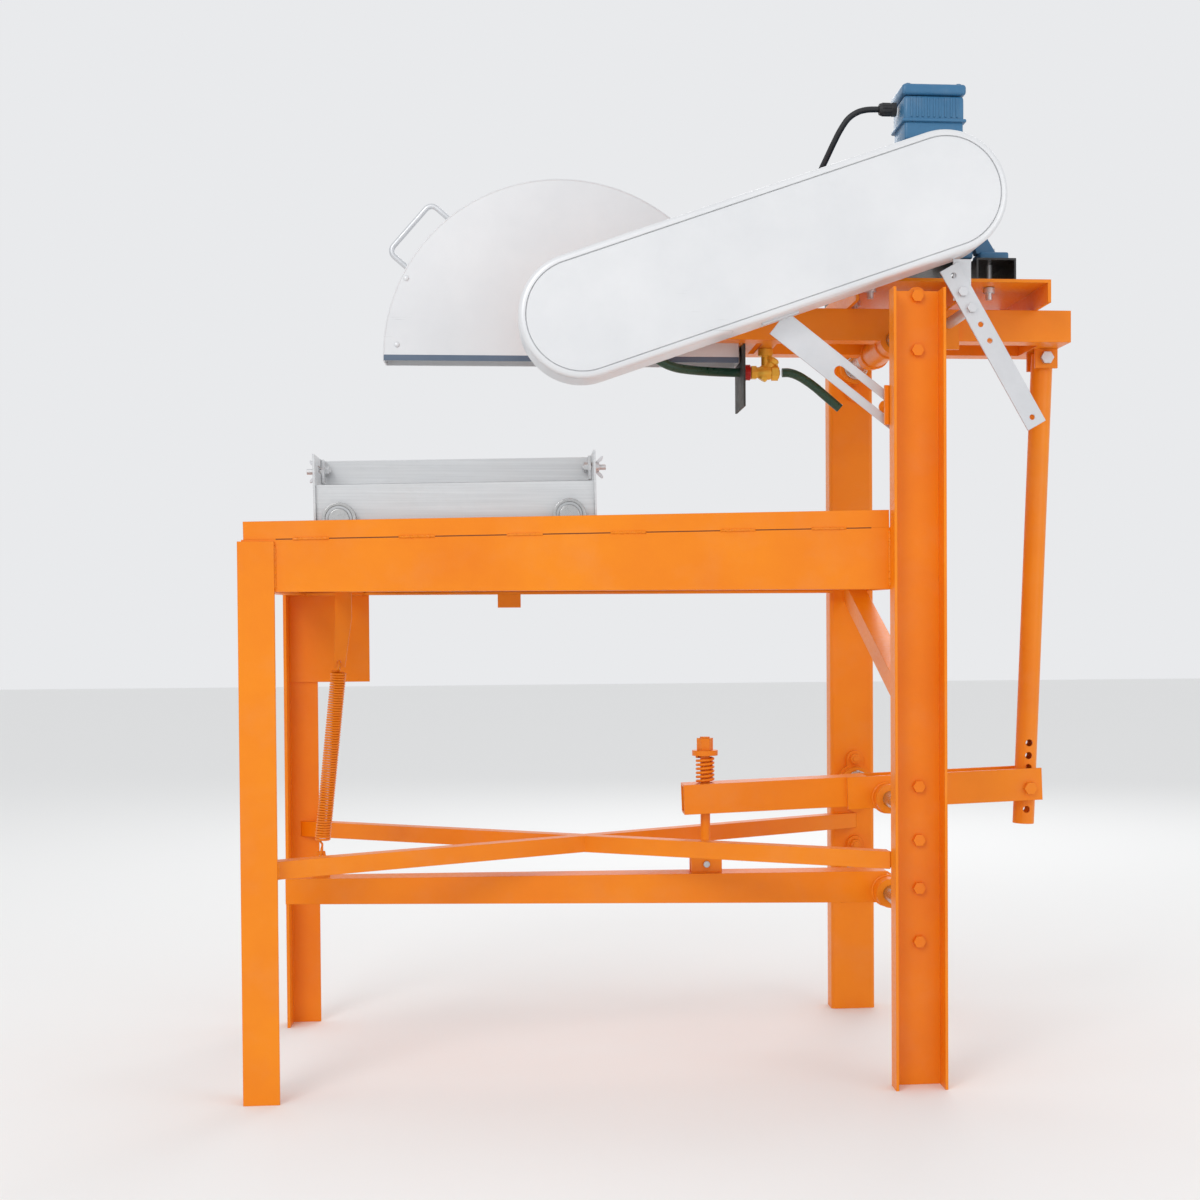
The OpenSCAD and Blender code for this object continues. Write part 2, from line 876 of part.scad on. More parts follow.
// A round hole in such a bar, at a distance along it
module bracket_hole(p, tilt, at, d) {
    translate([p[0], stay_y - 1, p[1]])
        rotate([0, tilt, 0])
            rod_y([at, 0], [0, stay_t + 2], d);
}

// Slotted stay that rides on the frame's guide pin, and the perforated strap
module guard_brackets() {
    slot_w = 16;
    strap_p = strap_top - (strap_holes[1] + strap_end) * [cos(strap_tilt), -sin(strap_tilt)];
    tab_x = [strap_top[0] - 13, strap_top[0] + 13];
    tab_top = belt_hi[1] - sqrt(pow(belt_guard_r, 2) - pow(tab_x[0] - belt_hi[0], 2)) - touch;
    color(steel)
        datum()
            from_head() {
                difference() {
                    union() {
                        bracket_bar(stay_start, stay_tilt, stay_l, stay_w);
                        translate([belt_lo[0], 0, belt_lo[1]])
                            rotate([0, -belt_tilt, 0])
                                slab([belt_len * 0.44, belt_len * 0.54],
                                    [stay_y - 17, stay_y + stay_t],
                                    [-belt_guard_r - stay_t, -belt_guard_r]);
                    }
                    translate([belt_lo[0], 0, belt_lo[1]])
                        rotate([0, -belt_tilt, 0])
                            slab([0, belt_len], [stay_y - 20, stay_y + 20], [-belt_guard_r, 0]);
                    translate([stay_start[0], stay_y, stay_start[1]])
                        rotate([0, stay_tilt, 0]) {
                            slab(stay_slot, [-1, stay_t + 1], [-slot_w / 2, slot_w / 2]);
                            for (s = stay_slot)
                                rod_y([s, 0], [-1, stay_t + 1], slot_w);
                        }
                }
                difference() {
                    bracket_bar(strap_p, strap_tilt, strap_holes[5] + 2 * strap_end, strap_w);
                    for (h = strap_holes)
                        bracket_hole(strap_p, strap_tilt, h + strap_end, 8 + 2 * fit);
                }
                difference() {
                    slab(tab_x, [stay_y + stay_t, stay_y + 2 * stay_t],
                        [strap_top[1] - 12, tab_top]);
                    rod_y(strap_top, [stay_y, stay_y + 3 * stay_t], 8 + 2 * fit);
                }
            }
}

module splash_flap() {
    color(rubber)
        datum()
            from_head()
                difference() {
                    slab([flap_x, flap_x + 3], [-arm_y, arm_y], [-96, arm_z0]);
                    rod_x([flap_x - 1, flap_x + 4], 0, valve_z, hose_d + 2);
                }
}

// ---- Water --------------------------------------------------------------------

// Branch valve hung from the head, with a hose nut in front and a tail behind
module water_valve() {
    c = [valve_x, valve_z];
    color(brass)
        datum()
            from_head() {
                rod_x([valve_x - 26, valve_x + 20], 0, valve_z, 20);
                rod_x([valve_x + 18, valve_x + 26], 0, valve_z, 14);
                rod_z(valve_x, 0, [valve_z, arm_z0], 12);
                rod_z(valve_x, 0, [arm_z0 - 10, arm_z0], 22);
                rod_x([valve_x - 36, valve_x - 24], 0, valve_z, 26);
            }
}

function unit(v) = v / norm(v);
function tangent(p, i) = unit(p[min(i + 1, len(p) - 1)] - p[max(i - 1, 0)]);

// Round tube along a route; side is a direction that the route never follows
module cord(p, d, side, n = 8) {
    count = len(p);
    rings = [for (i = [0:count - 1], k = [0:n - 1])
        let (t = tangent(p, i), a = unit(cross(t, side)), b = cross(t, a))
        p[i] + d / 2 * (cos(360 * k / n) * a + sin(360 * k / n) * b)];
    walls = [for (i = [0:count - 2], k = [0:n - 1])
        [i * n + k, (i + 1) * n + k, (i + 1) * n + (k + 1) % n, i * n + (k + 1) % n]];
    start = [for (k = [0:n - 1]) k];
    end = [for (k = [n - 1:-1:0]) (count - 1) * n + k];
    polyhedron(rings, concat(walls, [start, end]));
}

module water_hose() {
    color("#2f4a38")
        datum()
            from_head()
                cord(water_hose_pts, hose_d, [0, 1, 0.1], 10);
}

module hose_tail() {
    color("#2f4a38")
        datum()
            from_head()
                cord(hose_tail_pts, hose_d, [0, 1, 0], 10);
}

// ---- Motor and switchgear -----------------------------------------------------

module foot_holes(z) {
    for (x = rail_x, y = [motor_front + 45, motor_back - 45])
        rod_z(x, y, z, 10 + 2 * fit);
}

// Folded tray that stands on both arms
module motor_base_plate() {
    color(orange)
        datum()
            from_head()
                difference() {
                    union() {
                        slab(plate_x, plate_y, [plate_top - plate_t, plate_top]);
                        for (x = [plate_x[0], plate_x[1] - plate_t, plate_x[0] + 150])
                            slab([x, x + plate_t], plate_y, [arm_z1, plate_top - plate_t]);
                    }
                    foot_holes([plate_top - plate_t - 1, plate_top + 1]);
                }
}

// Two upturned channels across the tray, under the motor's feet
module motor_rails() {
    color(steel)
        datum()
            from_head()
                for (x = rail_x)
                    difference() {
                        slab([x - 30, x + 30], plate_y, [plate_top, plate_top + rail_h]);
                        slab([x - 27, x + 27], plate_y + [-1, 1], [plate_top - 1, plate_top + rail_h - 3]);
                        foot_holes([plate_top, plate_top + rail_h + 1]);
                    }
}

// Motor body with end shields and its four feet
module motor_body() {
    foot_z = plate_top + rail_h;
    color(blue)
        datum()
            from_head()
                difference() {
                    union() {
                        rod_y(motor_c, [motor_front + 18, motor_back - 14], 2 * motor_r);
                        rod_y(motor_c, [motor_front + 4, motor_front + 18], 2 * motor_r - 10);
                        rod_y(motor_c, [motor_front, motor_front + 4], 90);
                        rod_y(motor_c, [motor_back - 14, motor_back],
                            2 * (motor_r - sheet_t - fit));
                        for (x = rail_x, y = [motor_front + 45, motor_back - 45])
                            slab([x - 22, x + 22], [y - 25, y + 25], [foot_z, foot_z + 13]);
                        slab([rail_x[0] + 10, rail_x[1] - 10], [motor_front + 25, motor_back - 25],
                            [foot_z + 2, foot_z + 14]);
                    }
                    foot_holes([foot_z - 1, foot_z + 30]);
                    slab(box_x + [4, -4], box_y + [4, -4], [box_z[0], box_z[1]]);
                }
}

module motor_fan_cover() {
    color(blue)
        datum()
            from_head()
                difference() {
                    rod_y(motor_c, [motor_back - 14, motor_back + fan_l], 2 * motor_r);
                    rod_y(motor_c, [motor_back - 15, motor_back + fan_l - sheet_t],
                        2 * motor_r - 2 * sheet_t);
                    for (a = [0:30:330])
                        translate([motor_c[0], 0, motor_c[1]])
                            rotate([0, a, 0])
                                slab([24, 62], [motor_back + fan_l - 4, motor_back + fan_l + 1],
                                    [-4, 4]);
                }
}

// Terminal box: pedestal, flange and lid
module terminal_box() {
    color(blue)
        datum()
            from_head() {
                slab(box_x + [4, -4], box_y + [4, -4], [box_z[0], box_z[0] + 26]);
                slab(box_x, box_y, [box_z[0] + 26, box_z[1]]);
            }
}

module cable_gland() {
    color(black)
        datum()
            from_head()
                difference() {
                    union() {
                        rod_x([box_x[0] - 12, box_x[0]], gland_y, gland_z, 22);
                        rod_x([box_x[0] - 28, box_x[0] - 12], gland_y, gland_z, 16);
                    }
                    rod_x([box_x[0] - 29, box_x[0] - 6], gland_y, gland_z, motor_cable_d + 1);
                }
}

module motor_cable() {
    color(black)
        datum()
            from_head()
                cord(motor_cable_pts, motor_cable_d, [0, 1, 1]);
}

// Switch box on the far arm, with its cable entry behind and a supply inlet in front
module switch_box() {
    y1 = switch_y[1];
    mid_y = 78;
    color(blue)
        datum()
            from_head()
                difference() {
                    union() {
                        slab(switch_x, switch_y, switch_z);
                        rod_x([switch_x[1], switch_x[1] + 14], mid_y, switch_z[0] + 50, 20);
                        rod_x([switch_x[0] - 16, switch_x[0]], mid_y, switch_z[0] + 30, 34);
                    }
                    rod_x([switch_x[1] + 4, switch_x[1] + 15], mid_y, switch_z[0] + 50,
                        motor_cable_d + 1);
                    rod_x([switch_x[0] - 17, switch_x[0] - 2], mid_y, switch_z[0] + 30, 28);
                    for (z = [28, 62])
                        rod_y([-304, switch_z[0] + z], [y1 - 14, y1 + 1], 23);
                }
}

module push_button(z, tall) {
    y1 = switch_y[1];
    rod_y([-304, switch_z[0] + z], [y1 - 9, y1 + tall], 22);
}

module start_button() {
    color("green")
        datum()
            from_head()
                push_button(28, 4);
}

module stop_button() {
    color("red")
        datum()
            from_head()
                push_button(62, 6);
}

// ---- Linkage ------------------------------------------------------------------

// Lever: box tube in front, two cheeks behind that hold the push link
module lever() {
    y = tube_w / 2;
    z = [lever_off - lever_h / 2, lever_off + lever_h / 2];
    pin = [link_low[0] * cos(lever_tilt) + link_low[1] * sin(lever_tilt),
        link_low[1] * cos(lever_tilt) - link_low[0] * sin(lever_tilt)];
    color(orange)
        datum()
            from_lever()
                difference() {
                    union() {
                        box_tube([lever_front, -30], [-y, y], z, tube_t);
                        slab([-62, 247], [-y - cheek_t, -y], z - [4, 0]);
                        slab([-62, 241], [y, y + cheek_t], z - [4, 0]);
                        rod_y([0, 0], [-60, 60], hub_d);
                    }
                    rod_y([0, 0], [-61, 61], shaft_d + 2 * fit);
                    rod_z(-rod_reach + 1, 0, [z[0] + 1, z[1] + 1], rod_d + 9);
                    slab([-rod_reach - 24, -rod_reach + 12], [-rod_d / 2 - 3, rod_d / 2 + 3],
                        [z[0] - 1, z[0] + tube_t + 1]);
                    rod_y(pin, [-y - 9, y + 9], link_pin_d + 2 * fit);
                }
}

module lever_shaft() {
    color(steel)
        datum()
            translate([pivot_x, 0, lever_z])
                rod_y([0, 0], [-web_y + 4, web_y - 4], shaft_d);
}

module link_bolt() {
    c = [pivot_x + link_low[0], lever_z + link_low[1]];
    y = tube_w / 2 + cheek_t;
    color(orange)
        datum() {
            rod_y(c, [-y, y + 12], link_pin_d);
            hex_y(c, [-y - 8, -y], 18);
            hex_y(c, [y, y + 10], 18);
        }
}

// Pedal: long tapering box tube with hub, rod cheeks and spring lug
module pedal() {
    y = tube_w / 2;
    t = tube_t;
    front = pedal_front;
    hook = hook_low - [pivot_x, pedal_z];
    color(orange)
        datum()
            from_pedal()
                difference() {
                    union() {
                        difference() {
                            side_plate_of([[front, -3], [0, -19], [0, 30], [front, 35]], [-y, y]);
                            side_plate_of([[front + t, -3 + t], [1, -19 + t], [1, 30 - t],
                                [front + t, 35 - t]], [-y + t, y - t]);
                        }
                        for (s = [-1, 1])
                            slab([-rod_reach - 24, -rod_reach + 24], [s * 12 - 3, s * 12 + 3],
                                [29, rod_pin_z + 11]);
                        side_plate_of([[hook[0] - 14, 33], [hook[0] + 14, 33],
                            [hook[0] + 6, hook[1] + 8], [hook[0] - 6, hook[1] + 8]], [-2.5, 2.5]);
                        rod_y([0, 0], [-60, 60], hub_d);
                    }
                    rod_y([0, 0], [-61, 61], shaft_d + 2 * fit);
                    rod_y([-rod_reach, rod_pin_z], [-20, 20], rod_pin_d + 2 * fit);
                    rod_y(hook, [-3, 3], wire_d + 1.8);
                }
}

module pedal_shaft() {
    color(steel)
        datum()
            from_pedal() {
                rod_y([0, 0], [-web_y + 4, web_y - 4], shaft_d);
                rod_y([-rod_reach, rod_pin_z], [-20, 20], rod_pin_d);
            }
}

// Pull rod with its eye, and the washer and nut that hold the spring
module pull_rod() {
    x = -rod_reach;
    color(orange)
        datum()
            from_pedal()
                difference() {
                    union() {
                        rod_z(x, 0, [rod_pin_z + 4, rod_top - pedal_z], rod_d);
                        rod_y([x, rod_pin_z], [-8.5, 8.5], 19);
                        rod_z(x, 0, [213, 221], 40);
                        translate([x, 0, 221])
                            cylinder(h = 19, d = 22 / cos(30), $fn = 6);
                    }
                    rod_y([x, rod_pin_z], [-9, 9], rod_pin_d + 2 * fit);
                }
}

// Outline of the compression spring round the rod
module rod_spring() {
    x = pivot_x - rod_reach;
    color(orange)
        datum()
            difference() {
                rod_z(x, 0, coil_z, rod_d + 15);
                rod_z(x, 0, coil_z + [-1, 1], rod_d + 3);
            }
}

// Push link: tube with adjusting holes at its lower end
module link_tube() {
    color(orange)
        datum()
            translate([link_b[0], 0, link_b[1]])
                rotate([0, link_tilt, 0])
                    difference() {
                        rod_z(0, 0, [-58, link_l + 8], link_d);
                        rod_z(0, 0, [-59, link_l + 9], link_d - 5.2);
                        for (z = [-35, 31, 50, 70])
                            rod_y([0, z], [-link_d, link_d], 11);
                        rod_y([0, 0], [-link_d, link_d], link_pin_d + 4);
                        rod_y([0, link_l], [-link_d, link_d], link_pin_d + 2 * fit);
                    }
}

// Outline of the extension spring, with a hook ring at each end
module return_spring() {
    inset = hook_r + 9;
    color(orange)
        datum()
            translate([hook_low[0], 0, hook_low[1]])
                rotate([0, hook_tilt, 0]) {
                    rod_z(0, 0, [inset + 9, hook_l - inset], spring_d);
                    for (z = [hook_r, hook_l - hook_r])
                        translate([0, 0, z])
                            rotate([0, 90, 0])
                                rotate_extrude()
                                    translate([hook_r, 0])
                                        circle(d = wire_d);
                    rod_z(0, 0, [2 * hook_r, inset + 9], wire_d);
                    rod_z(0, 0, [hook_l - inset, hook_l - 2 * hook_r], wire_d);
                }
}

// ---- Cart ---------------------------------------------------------------------

module cart_deck() {
    u = [cart_start + deck_t, cart_start + cart_l - deck_t];
    color(paint)
        datum()
            on_track()
                difference() {
                    union() {
                        slab(u, [-side_y, side_y], [deck_z - deck_t, deck_z]);
                        both_sides()
                            slab(u, [-side_y, -side_y + deck_t], [skirt_z, deck_z - deck_t]);
                    }
                    slab([u[0] + 20, u[1] - 20], [-blade_slot / 2, blade_slot / 2], [0, deck_z + 1]);
                    for (x = roller_u)
                        rod_y([x, roller_z], [-side_y - 1, side_y + 1], 12 + 2 * fit);
                }
}

// End plates with the blade notch and the slots that guide the fence
module cart_end_plates() {
    edge = side_y + 5.5;
    color(paint)
        datum()
            on_track()
                for (u = [cart_start, cart_start + cart_l - deck_t])
                    difference() {
                        slab([u, u + deck_t], [-edge, edge], [skirt_z, end_plate_z]);
                        slab([u - 1, u + deck_t + 1], [-blade_slot / 2, blade_slot / 2],
                            [deck_z - 24, end_plate_z + 1]);
                        slab([u - 1, u + deck_t + 1], [fence_bolt_y - 58, fence_bolt_y + 120],
                            [fence_bolt_z - 4.6, fence_bolt_z + 4.6]);
                    }
}

module roller(u, side) {
    color(steel)
        datum()
            on_track()
                mirror([0, side > 0 ? 1 : 0, 0])
                    difference() {
                        rod_y([u, roller_z + touch / 4],
                            [-side_y - 1.3 - roller_w, -side_y - 1.3], roller_d);
                        rod_y([u, roller_z + touch / 4],
                            [-side_y - 2 - roller_w, -side_y], axle_d + 2 * fit);
                    }
}

module roller_front_near() { roller(roller_u[0], -1); }
module roller_rear_near() { roller(roller_u[1], -1); }
module roller_front_far() { roller(roller_u[0], 1); }
module roller_rear_far() { roller(roller_u[1], 1); }

module roller_axles() {
    out = -side_y - 1.6 - roller_w;
    color(steel)
        datum()
            on_track()
                both_sides()
                    for (u = roller_u) {
                        c = [u, roller_z + touch / 4];
                        rod_y(c, [out - 1.5, out], 27);
                        rod_y(c, [out, -side_y], axle_d);
                        rod_y(c, [-side_y - 1, -side_y], 27);
                        rod_y([u, roller_z], [-side_y, -side_y + 16], 12);
                        hex_y([u, roller_z], [-side_y + deck_t, -side_y + deck_t + 10], 19);
                    }
}

// Fence bar with its bent ends and the bolts through the slots
module fence_bar() {
    u = [cart_start + deck_t + touch, cart_start + cart_l - deck_t - touch];
    z = [end_plate_z - 1 - fence_h, end_plate_z - 1];
    tab_y = [-fence_y, fence_bolt_y + 13 + fence_t];
    color(paint)
        datum()
            on_track()
                union() {
                    slab(u, [tab_y[1] - fence_t, tab_y[1]], z);
                    slab([u[0], u[0] + 4], tab_y, z);
                    slab([u[1] - 4, u[1]], tab_y, z);
                    rod_x([u[0] - 22, u[0] + 12], fence_bolt_y, fence_bolt_z, fence_bolt_d);
                    rod_x([u[1] - 12, u[1] + 22], fence_bolt_y, fence_bolt_z, fence_bolt_d);
                    for (x = [u[0] + 4, u[1] - 10])
                        translate([x, fence_bolt_y, fence_bolt_z])
                            rotate([0, 90, 0])
                                cylinder(h = 6, d = 13 / cos(30), $fn = 6);
                }
}

// Wing nut on a fence bolt; dir is the side of the plate that it stands on
module wing_nut(u, dir) {
    x = dir < 0 ? [u - 9, u - 1] : [u + 1, u + 9];
    wing = dir < 0 ? [u - 15, u - 4] : [u + 4, u + 15];
    color(steel)
        datum()
            on_track()
                difference() {
                    union() {
                        rod_x(x, fence_bolt_y, fence_bolt_z, 16);
                        for (s = [-1, 1])
                            slab(wing, [fence_bolt_y - 1.5, fence_bolt_y + 1.5],
                                [fence_bolt_z + s * 11.5 - 5.5, fence_bolt_z + s * 11.5 + 5.5]);
                    }
                    rod_x([u - 20, u + 20], fence_bolt_y, fence_bolt_z, fence_bolt_d + 2 * fit);
                }
}

module wing_nut_front() { wing_nut(cart_start, -1); }
module wing_nut_rear() { wing_nut(cart_start + cart_l, 1); }

front_legs();
column_near();
column_far();
side_beam_near();
side_beam_far();
track_rails();
front_cross_beam();
rear_cross_members();
cross_braces();
side_plate();
frame_brackets();
flange_bearings();
bearing_bolts();
head_frame();
pivot_shaft();
arbor_housings();
head_bolts();
belt_guard_cover();
belt_guard_back();
blade_guard();
guard_handle();
guard_brackets();
splash_flap();
water_valve();
water_hose();
hose_tail();
motor_base_plate();
motor_rails();
motor_body();
motor_fan_cover();
terminal_box();
cable_gland();
motor_cable();
switch_box();
start_button();
stop_button();
v_belts();
arbor_shaft();
blade_flanges();
arbor_pulley();
motor_pulley();
lever();
lever_shaft();
link_bolt();
pedal();
pedal_shaft();
pull_rod();
rod_spring();
link_tube();
return_spring();
cart_deck();
cart_end_plates();
roller_front_near();
roller_rear_near();
roller_front_far();
roller_rear_far();
roller_axles();
fence_bar();
wing_nut_front();
wing_nut_rear();
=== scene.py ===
# %% [markdown]
# # A foot-operated masonry saw
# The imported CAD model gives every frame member, shaft and joint at its true size.
# This lesson keeps those parts where they are, gives each a finish, and builds what
# CAD only blocks in: springs, hoses, motor casing, belt guard, bearings and welds.
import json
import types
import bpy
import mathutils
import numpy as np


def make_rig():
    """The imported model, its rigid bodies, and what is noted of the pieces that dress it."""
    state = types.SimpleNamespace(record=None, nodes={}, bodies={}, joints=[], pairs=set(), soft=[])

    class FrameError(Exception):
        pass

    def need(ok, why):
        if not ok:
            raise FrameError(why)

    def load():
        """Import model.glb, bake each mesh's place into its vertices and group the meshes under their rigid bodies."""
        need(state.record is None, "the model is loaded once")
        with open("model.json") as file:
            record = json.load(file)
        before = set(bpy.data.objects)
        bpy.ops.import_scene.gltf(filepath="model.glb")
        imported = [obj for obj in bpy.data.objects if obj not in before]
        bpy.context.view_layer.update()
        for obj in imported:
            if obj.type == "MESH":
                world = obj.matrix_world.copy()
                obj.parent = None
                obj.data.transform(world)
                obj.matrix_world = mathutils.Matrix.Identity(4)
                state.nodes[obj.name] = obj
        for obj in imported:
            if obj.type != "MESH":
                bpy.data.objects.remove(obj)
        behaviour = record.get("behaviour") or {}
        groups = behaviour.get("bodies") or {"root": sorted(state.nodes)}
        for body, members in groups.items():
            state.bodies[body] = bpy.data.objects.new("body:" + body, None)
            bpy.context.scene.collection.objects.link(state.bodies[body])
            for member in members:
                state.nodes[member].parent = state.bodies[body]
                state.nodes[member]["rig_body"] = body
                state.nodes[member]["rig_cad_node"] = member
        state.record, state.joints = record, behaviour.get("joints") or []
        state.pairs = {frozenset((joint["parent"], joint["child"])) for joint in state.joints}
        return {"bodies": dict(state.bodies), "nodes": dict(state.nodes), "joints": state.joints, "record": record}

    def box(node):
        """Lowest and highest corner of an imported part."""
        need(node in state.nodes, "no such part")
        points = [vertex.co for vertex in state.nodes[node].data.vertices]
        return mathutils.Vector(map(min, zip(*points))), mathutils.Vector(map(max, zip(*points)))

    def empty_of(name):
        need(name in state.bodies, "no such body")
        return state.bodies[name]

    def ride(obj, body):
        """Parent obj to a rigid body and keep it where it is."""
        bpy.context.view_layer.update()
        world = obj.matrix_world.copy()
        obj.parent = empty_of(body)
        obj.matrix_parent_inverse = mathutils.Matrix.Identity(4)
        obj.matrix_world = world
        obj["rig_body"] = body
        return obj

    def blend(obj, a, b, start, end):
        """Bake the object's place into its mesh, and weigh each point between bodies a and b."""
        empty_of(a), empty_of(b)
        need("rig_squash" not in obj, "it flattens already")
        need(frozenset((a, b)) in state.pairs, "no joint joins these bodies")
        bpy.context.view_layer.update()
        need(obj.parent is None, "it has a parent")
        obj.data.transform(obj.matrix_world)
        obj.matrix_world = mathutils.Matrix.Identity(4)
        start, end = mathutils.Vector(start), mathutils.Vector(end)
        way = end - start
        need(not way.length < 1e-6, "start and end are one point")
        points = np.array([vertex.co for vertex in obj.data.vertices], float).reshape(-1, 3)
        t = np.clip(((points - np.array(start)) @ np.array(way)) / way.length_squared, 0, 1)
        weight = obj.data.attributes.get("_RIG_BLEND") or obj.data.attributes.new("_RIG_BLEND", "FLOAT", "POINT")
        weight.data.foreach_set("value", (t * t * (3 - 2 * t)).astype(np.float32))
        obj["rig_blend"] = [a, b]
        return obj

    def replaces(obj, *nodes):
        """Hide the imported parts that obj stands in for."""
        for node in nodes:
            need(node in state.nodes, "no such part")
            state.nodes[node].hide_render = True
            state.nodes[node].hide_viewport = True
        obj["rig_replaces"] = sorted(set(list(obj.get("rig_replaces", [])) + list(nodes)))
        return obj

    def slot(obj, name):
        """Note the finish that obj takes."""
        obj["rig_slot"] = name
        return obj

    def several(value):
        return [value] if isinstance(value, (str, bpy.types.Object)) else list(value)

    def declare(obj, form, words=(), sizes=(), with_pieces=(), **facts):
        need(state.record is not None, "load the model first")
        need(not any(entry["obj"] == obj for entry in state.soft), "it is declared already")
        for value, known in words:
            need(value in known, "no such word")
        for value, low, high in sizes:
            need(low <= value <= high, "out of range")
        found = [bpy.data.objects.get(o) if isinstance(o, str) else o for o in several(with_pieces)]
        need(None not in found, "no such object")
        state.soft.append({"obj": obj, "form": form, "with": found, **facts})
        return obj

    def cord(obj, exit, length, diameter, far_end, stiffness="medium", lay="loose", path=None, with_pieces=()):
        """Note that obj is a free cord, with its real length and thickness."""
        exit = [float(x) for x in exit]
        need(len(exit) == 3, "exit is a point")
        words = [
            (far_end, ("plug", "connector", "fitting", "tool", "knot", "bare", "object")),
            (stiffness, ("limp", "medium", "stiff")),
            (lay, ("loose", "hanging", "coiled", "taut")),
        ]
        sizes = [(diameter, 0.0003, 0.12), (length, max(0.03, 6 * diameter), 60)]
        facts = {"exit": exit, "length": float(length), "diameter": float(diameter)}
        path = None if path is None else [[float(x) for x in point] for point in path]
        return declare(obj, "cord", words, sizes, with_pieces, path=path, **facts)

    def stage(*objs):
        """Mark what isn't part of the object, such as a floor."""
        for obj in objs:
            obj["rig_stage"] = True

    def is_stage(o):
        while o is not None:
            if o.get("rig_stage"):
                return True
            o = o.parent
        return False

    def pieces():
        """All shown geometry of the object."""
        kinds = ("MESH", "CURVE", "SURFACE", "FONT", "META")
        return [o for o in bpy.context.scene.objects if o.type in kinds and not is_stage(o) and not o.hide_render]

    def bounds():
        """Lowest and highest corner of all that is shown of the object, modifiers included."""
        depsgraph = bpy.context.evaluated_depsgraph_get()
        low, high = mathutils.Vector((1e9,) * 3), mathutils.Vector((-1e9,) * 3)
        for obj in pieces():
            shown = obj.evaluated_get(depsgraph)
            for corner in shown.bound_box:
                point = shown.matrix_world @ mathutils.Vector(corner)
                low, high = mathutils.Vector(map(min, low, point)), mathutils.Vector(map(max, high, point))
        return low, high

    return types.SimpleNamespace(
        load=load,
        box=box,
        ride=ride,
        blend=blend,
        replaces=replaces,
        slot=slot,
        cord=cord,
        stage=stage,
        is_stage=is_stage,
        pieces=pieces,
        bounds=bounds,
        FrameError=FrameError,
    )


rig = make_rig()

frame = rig.load()
import json
import math

import bmesh
import bpy
import numpy as np
from mathutils import Matrix, Vector

cad_box = [list(corner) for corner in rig.bounds()]
nodes = frame["nodes"]
joint_at = {j["name"]: Vector(j["pos_m"]) for j in frame["record"]["behaviour"]["joints"] if "pos_m" in j}
head = joint_at["head_tilt"]
print(len(nodes), "CAD nodes, box", cad_box)

# %% [markdown]
# ## Camera and light
# The machine is seen square on from its near side, at about the height of the side
# beams, so the camera stands level with them. A small lens shift keeps the posts
# upright while the machine stays in the middle of the frame.

# %% Camera
CAMERA_AT = Vector((-0.2245, -2.915, 0.6814))
YAW, PITCH, ROLL = 0.09695, 0.02289, -0.00578
forward = Vector((math.sin(YAW) * math.cos(PITCH), math.cos(YAW) * math.cos(PITCH), -math.sin(PITCH)))
right = Vector((math.cos(YAW), -math.sin(YAW), 0))
up = right.cross(forward)
rolled_right = right * math.cos(ROLL) + up * math.sin(ROLL)
rolled_up = up * math.cos(ROLL) - right * math.sin(ROLL)
camera_data = bpy.data.cameras.new("camera")
camera_data.sensor_width = 36
camera_data.lens = 56.45
camera_data.shift_x = -0.0875
camera_data.shift_y = 0.0458
camera = bpy.data.objects.new("camera", camera_data)
turn = Matrix((rolled_right, rolled_up, -forward)).transposed()
camera.matrix_world = Matrix.Translation(CAMERA_AT) @ turn.to_4x4()
bpy.context.collection.objects.link(camera)
bpy.context.scene.camera = camera
print("camera lens", camera_data.lens)


# %% Floor and lamps
def area_lamp(name, at, aim, size, power):
    data = bpy.data.lights.new(name, "AREA")
    data.shape = "DISK"
    data.size = size
    data.energy = power
    lamp = bpy.data.objects.new(name, data)
    lamp.location = at
    lamp.rotation_mode = "QUATERNION"
    lamp.rotation_quaternion = (Vector(aim) - Vector(at)).to_track_quat("-Z", "Y")
    bpy.context.collection.objects.link(lamp)
    return lamp


middle = (0, 0, 0.8)
area_lamp("key", (-1.9, -3.4, 2.9), middle, 1.8, 44)
area_lamp("fill", (2.6, -2.8, 1.4), middle, 2.2, 14)
area_lamp("back", (0.8, 3.2, 2.6), middle, 2.0, 30)
world = bpy.data.worlds.new("studio")
world.use_nodes = True
world.node_tree.nodes["Background"].inputs["Color"].default_value = (0.97, 0.98, 1.0, 1)
world.node_tree.nodes["Background"].inputs["Strength"].default_value = 0.84
bpy.context.scene.world = world
bpy.context.scene.view_settings.view_transform = "Standard"
bpy.ops.mesh.primitive_plane_add(size=30)
floor = bpy.context.object
floor.name = "floor"
floor_paint = bpy.data.materials.new("floor_paint")
floor_paint.use_nodes = True
floor_paint.node_tree.nodes["Principled BSDF"].inputs["Base Color"].default_value = (0.86, 0.86, 0.85,
    1)
floor_paint.node_tree.nodes["Principled BSDF"].inputs["Roughness"].default_value = 0.9
floor.data.materials.append(floor_paint)
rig.stage(floor)
print("stage ready")

# %% [markdown]
# ## Small mesh tools
# Most of what follows is swept, turned on a lathe or folded from sheet, as in a
# workshop. So there is one helper for each: a sweep carries a round section along a
# path, a lathe turns a profile about an axis, and a block starts every folded part.


# %% Mesh tools
def make_piece(name, verts, faces):
    mesh = bpy.data.meshes.new(name)
    mesh.from_pydata([tuple(v) for v in verts], [], faces)
    mesh.update()
    piece = bpy.data.objects.new(name, mesh)
    bpy.context.collection.objects.link(piece)
    tidy_normals(piece)
    return piece


